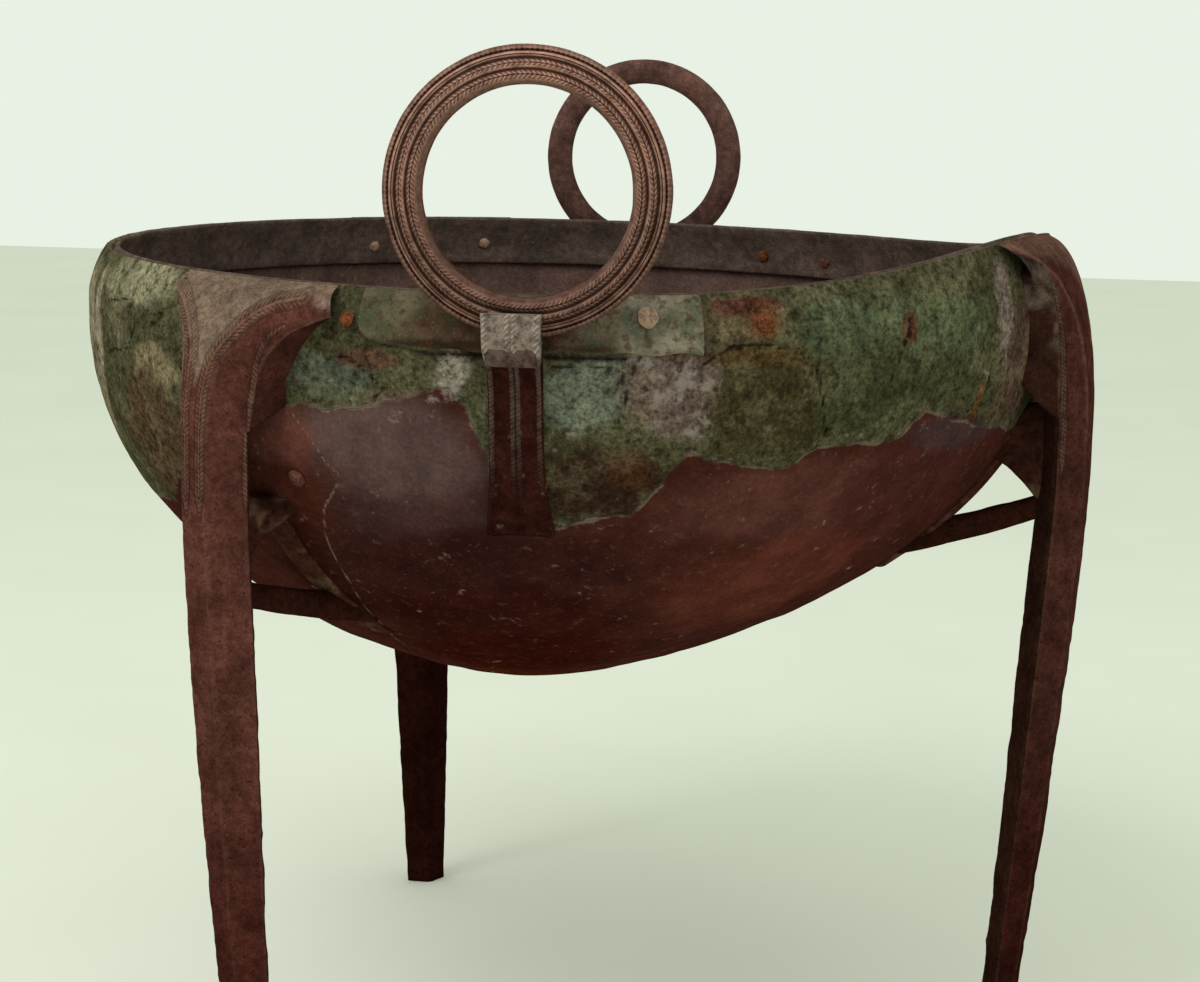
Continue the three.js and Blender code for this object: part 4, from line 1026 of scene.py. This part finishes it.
def strap_shells(azimuth, lift):
    """Section carried down a route over the ring's foot and along the wall, and the lug behind."""
    out = RING_OUT + 9
    # Stops of the route: radius, height and width of the strap.
    wall_there = float(wall_radius(azimuth, 484))
    stops = [(out, STRAP_TOP, 32), (out, 504, 31), (out - 2, 494, 31), (wall_there + lift + 2, 482, 29.5)]
    for stop in (468, 446, 426, 406, STRAP_FOOT):
        spread = 8.5 * max(0, (440 - stop) / 53) ** 2
        stops.append((float(wall_radius(azimuth, stop)) - 1, stop, 29.5 + spread))
    knots = np.linspace(0, 1, len(stops))
    radius, z, width = [np.interp(np.linspace(0, 1, 130), knots, line) for line in np.array(stops).T]
    for line in (radius, z):
        line[4:-4] = np.convolve(line, np.ones(9) / 9, "valid")
    along_r, along_z = np.gradient(radius), np.gradient(z)
    length = np.hypot(along_r, along_z)
    along_r, along_z = along_r / length, along_z / length
    side = np.linspace(-1, 1, 61)
    rib = np.exp(-(((np.abs(side) - EDGE_RIB) / 0.09) ** 2))
    rib = np.clip(rib + 0.8 * np.exp(-(((np.abs(side) - MIDDLE_RIB) / 0.07) ** 2)), 0, 1)
    top = 3.7 + 1.3 * rib
    top[[0, -1]] = 2.4
    side_all = np.concatenate([side, np.linspace(1, -1, 9)])
    under = mixed(-1.0, -3.5, smooth(z, 470, 486))[:, None]
    height = np.hstack([np.broadcast_to(top, (len(z), len(side))), np.broadcast_to(under, (len(z), 9))])
    sideways = side_all * width[:, None] / 2
    skin_radius = radius[:, None] - along_z[:, None] * height
    points = lumpy(polar(azimuth, skin_radius, z[:, None] + along_r[:, None] * height, sideways), 0.2, 8, 2)
    run = np.concatenate([[0], np.cumsum(np.hypot(np.diff(radius), np.diff(z)))])
    rail = np.abs(side_all)
    nearest = np.minimum(np.abs(rail - EDGE_RIB), np.abs(rail - MIDDLE_RIB))
    across = 0.45 + nearest * width[:, None] / 2 / 1.1
    across[:, len(side) :] = 9
    strand = run[:, None] / 2.6 + 0.3 * np.sign(side_all) * (rail - 0.5) * width[:, None] / 2
    block = 0.62 + 0.38 * np.concatenate([rib, np.zeros(9)])
    worn = smooth(z, 486, 494)[:, None] * block + 0.22 * (across < 1.5) * smooth(z, 400, 470)[:, None]
    # Pale blotches all over: painted highlights standing in for the strap's gloss.
    worn = np.clip(worn + 0.25 * smooth(cloud(points, 5, 3), 0.42, 0.7), 0, 1)
    bar = shell(points[::-1], {"across": across[::-1], "strand": strand[::-1], "worn": worn[::-1]})
    rows = []
    steps = np.linspace(0, 1, 8, endpoint=False)[:, None, None]
    for level in np.linspace(484, STRAP_TOP - 2, 10):
        near, far = float(wall_radius(azimuth, level)) + 0.5, RING_OUT + 10
        corners = np.array([(far, -LUG_HALF), (far, LUG_HALF), (near, LUG_HALF), (near, -LUG_HALF)])
        spread = mixed(corners, np.roll(corners, -1, 0), steps).transpose(1, 0, 2).reshape(-1, 2)
        rows.append(polar(azimuth, spread[:, 0], level, spread[:, 1]))
    lug = np.array(rows)
    blank = np.zeros(lug.shape[:2])
    return [bar, shell(lug, {"across": blank + 9, "strand": blank, "worn": blank + 0.2})]


def strap_finish():
    """Cast bronze, pale and worn on the block at the top and dark maroon below, with braided ribs and pale
    blotches of painted highlight.
    """
    material, tree, colour, height = cast_finish("strap bronze", "2f1511", "a5958a", pits=0.5, blotch=14.0)
    cuts = strand_cuts(tree)
    set_cast(tree, tinted(tree, colour, "26120f", cuts, 0.38), raised(tree, height, cuts, -0.6), 0.3)
    return material


strap_bronze = strap_finish()
make_piece("front_strap", strap_shells(2.3, 3.3), strap_bronze, ["handle_strap_front"])
make_piece("back_strap", strap_shells(179.6, 0), strap_bronze, ["handle_strap_back"])

# Rivets. Hammered heads of rusted iron, pale copper or brown bronze, passed through wall and strip
# and flattened inside; under the back leg only the inner heads show.
SHANK = 2.4
# Name, azimuth and height, radius and dome of the head, metal, and how far it stands off the wall.
RIVETS = [
    ("rivet_iron_left", -15.05, 503, 4.2, 2, "iron", 3.3),
    ("rivet_copper_plate", 15.1, 509, 5.6, 1.4, "copper", 3.6),
    ("rivet_iron_right", 27.2, 506, 5.2, 2, "iron", 0.6),
    ("rivet_dome_low", -23.3, 410, 5, 4, "bronze", 0.3),
    ("rivet_leg_back_left", -141.3, 505, 5, 0, "copper", None),
    ("rivet_leg_back_right", -158.2, 507, 5, 0, "copper", None),
    ("rivet_back_iron", 159.9, 503, 5.5, 2, "iron", 0.6),
    ("rivet_back_right", 149.9, 501, 5, 2, "bronze", 0.6),
]


def rivet_shell(azimuth, z, outline):
    """Outline of radius against depth turned about the rivet's own axis, its rim a little uneven."""
    outline = np.array(outline, float)
    turn = around(26)
    radius = outline[:, :1] * (1 + 0.04 * np.sin(3 * turn + z) + 0.03 * np.sin(5 * turn + azimuth))
    height = z + radius * np.sin(turn)
    points = polar(azimuth, wall_radius(azimuth, height) + outline[:, 1:], height, radius * np.cos(turn))
    return shell(points)


def rivet_finish(name, dark, middle, light):
    """Metal of a rivet's head, crusted and unevenly coloured."""
    material, tree = new_finish(name)
    mottle = grain(tree, 3.5, 4, 0.65)
    fine = grain(tree, 0.9, 3, 0.6)
    colour = blend(tree, fade(tree, mottle, 0.36, 0.62), tone(dark), tone(middle))
    colour = stained(tree, colour, light, fine, 0.52, 0.72, 0.7)
    set_finish(tree, colour, 0.7, raised(tree, sums(tree, "MULTIPLY", fine, 0.35), mottle, 0.8), 0.1)
    return material


rivet_finishes = {
    "iron": rivet_finish("rusted iron", "4a2413", "6f3f2a", "8f6448"),
    "copper": rivet_finish("dull copper", "7a5f4e", "a08571", "c4aa98"),
    "bronze": rivet_finish("brown rivet bronze", "4a2a22", "6b4439", "9a7466"),
}
for name, azimuth, z, head, dome, metal, stand in RIVETS:
    inside = BOWL_WALL + 0.4
    if z > WIDEST_HEIGHT:
        inside = LIP_WALL + BAND_THICKNESS + 0.7
    outline = [(0.6, -inside - 2.2), (head * 0.5, -inside - 1.9), (head * 0.74, -inside - 1.2),
               (head * 0.8, -inside - 0.5), (head * 0.8, -inside), (SHANK, -inside + 0.5)]
    if stand is None:
        outline += [(SHANK, -1), (0.6, -1)]
    else:
        outline += [(SHANK, stand - 0.4), (head, stand - 0.4)]
        for wide, high in ((1, 0.2), (0.86, 0.55), (0.55, 0.86)):
            outline.append((head * wide, stand + dome * high))
        outline += [(0.6, stand + dome)]
    head_shell = rivet_shell(azimuth, z, outline)
    make_piece(name.replace("rivet", "head"), [head_shell], rivet_finishes[metal], [name])

# Stage. A pale floor and a pale surround, a broad soft light from above the front left and a weaker
# one from the right; the camera stands where the photograph was taken from.
bpy.ops.mesh.primitive_plane_add(size=14, location=(0, 0, 0))
floor = bpy.context.object
scene = bpy.context.scene
floor.name = "pale_floor"
floor_material, floor_tree = new_finish("pale floor")
floor_colour = blend(floor_tree, grain(floor_tree, 300), tone("dfe0d4"), tone("e6e8dc"))
feed(floor_tree, floor_tree.nodes["Principled BSDF"], {"Base Color": floor_colour, "Roughness": 0.8})
floor.data.materials.append(floor_material)

world = bpy.data.worlds.new("pale surround")
scene.world = world
world.use_nodes = True
world.node_tree.nodes["Background"].inputs["Color"].default_value = (0.81, 0.88, 0.78, 1)


def add_light(name, place, size, power):
    """Square soft light at a place, turned towards the middle of the cauldron."""
    lamp = bpy.data.lights.new(name, "AREA")
    lamp.size = size
    lamp.energy = power
    light = bpy.data.objects.new(name, lamp)
    light.location = place
    light.rotation_euler = (Vector((0, 0, 0.4)) - Vector(place)).to_track_quat("-Z", "Y").to_euler()
    scene.collection.objects.link(light)


add_light("broad light", (-0.9, -1.3, 2.2), 1.4, 26)
add_light("weak light", (1.6, -1.2, 1.5), 1.2, 6)

# Place of the camera from the bowl's axis and above the floor, in mm, with its turns in degrees.
CAMERA_PLACE = (221.6, -1572.1, 630.2)
CAMERA_TILT = 9.534
CAMERA_ROLL = 1.186
camera_data = bpy.data.cameras.new("photograph")
camera_data.sensor_width = 36
camera_data.lens = 72.65
camera = bpy.data.objects.new("photograph", camera_data)
tilt = radians(CAMERA_TILT)
roll = radians(CAMERA_ROLL)
forward = Vector((-0.1281 * cos(tilt), 0.9918 * cos(tilt), -sin(tilt))).normalized()
right = forward.cross(Vector((0, 0, 1))).normalized()
up = right.cross(forward)
right, up = right * cos(roll) + up * sin(roll), up * cos(roll) - right * sin(roll)
place = Vector((AXIS_X, AXIS_Y, 0)) + Vector(CAMERA_PLACE)
camera.matrix_world = Matrix.Translation(place / 1000) @ Matrix((right, up, -forward)).transposed().to_4x4()
scene.collection.objects.link(camera)
scene.camera = camera
scene.view_settings.view_transform = "Standard"
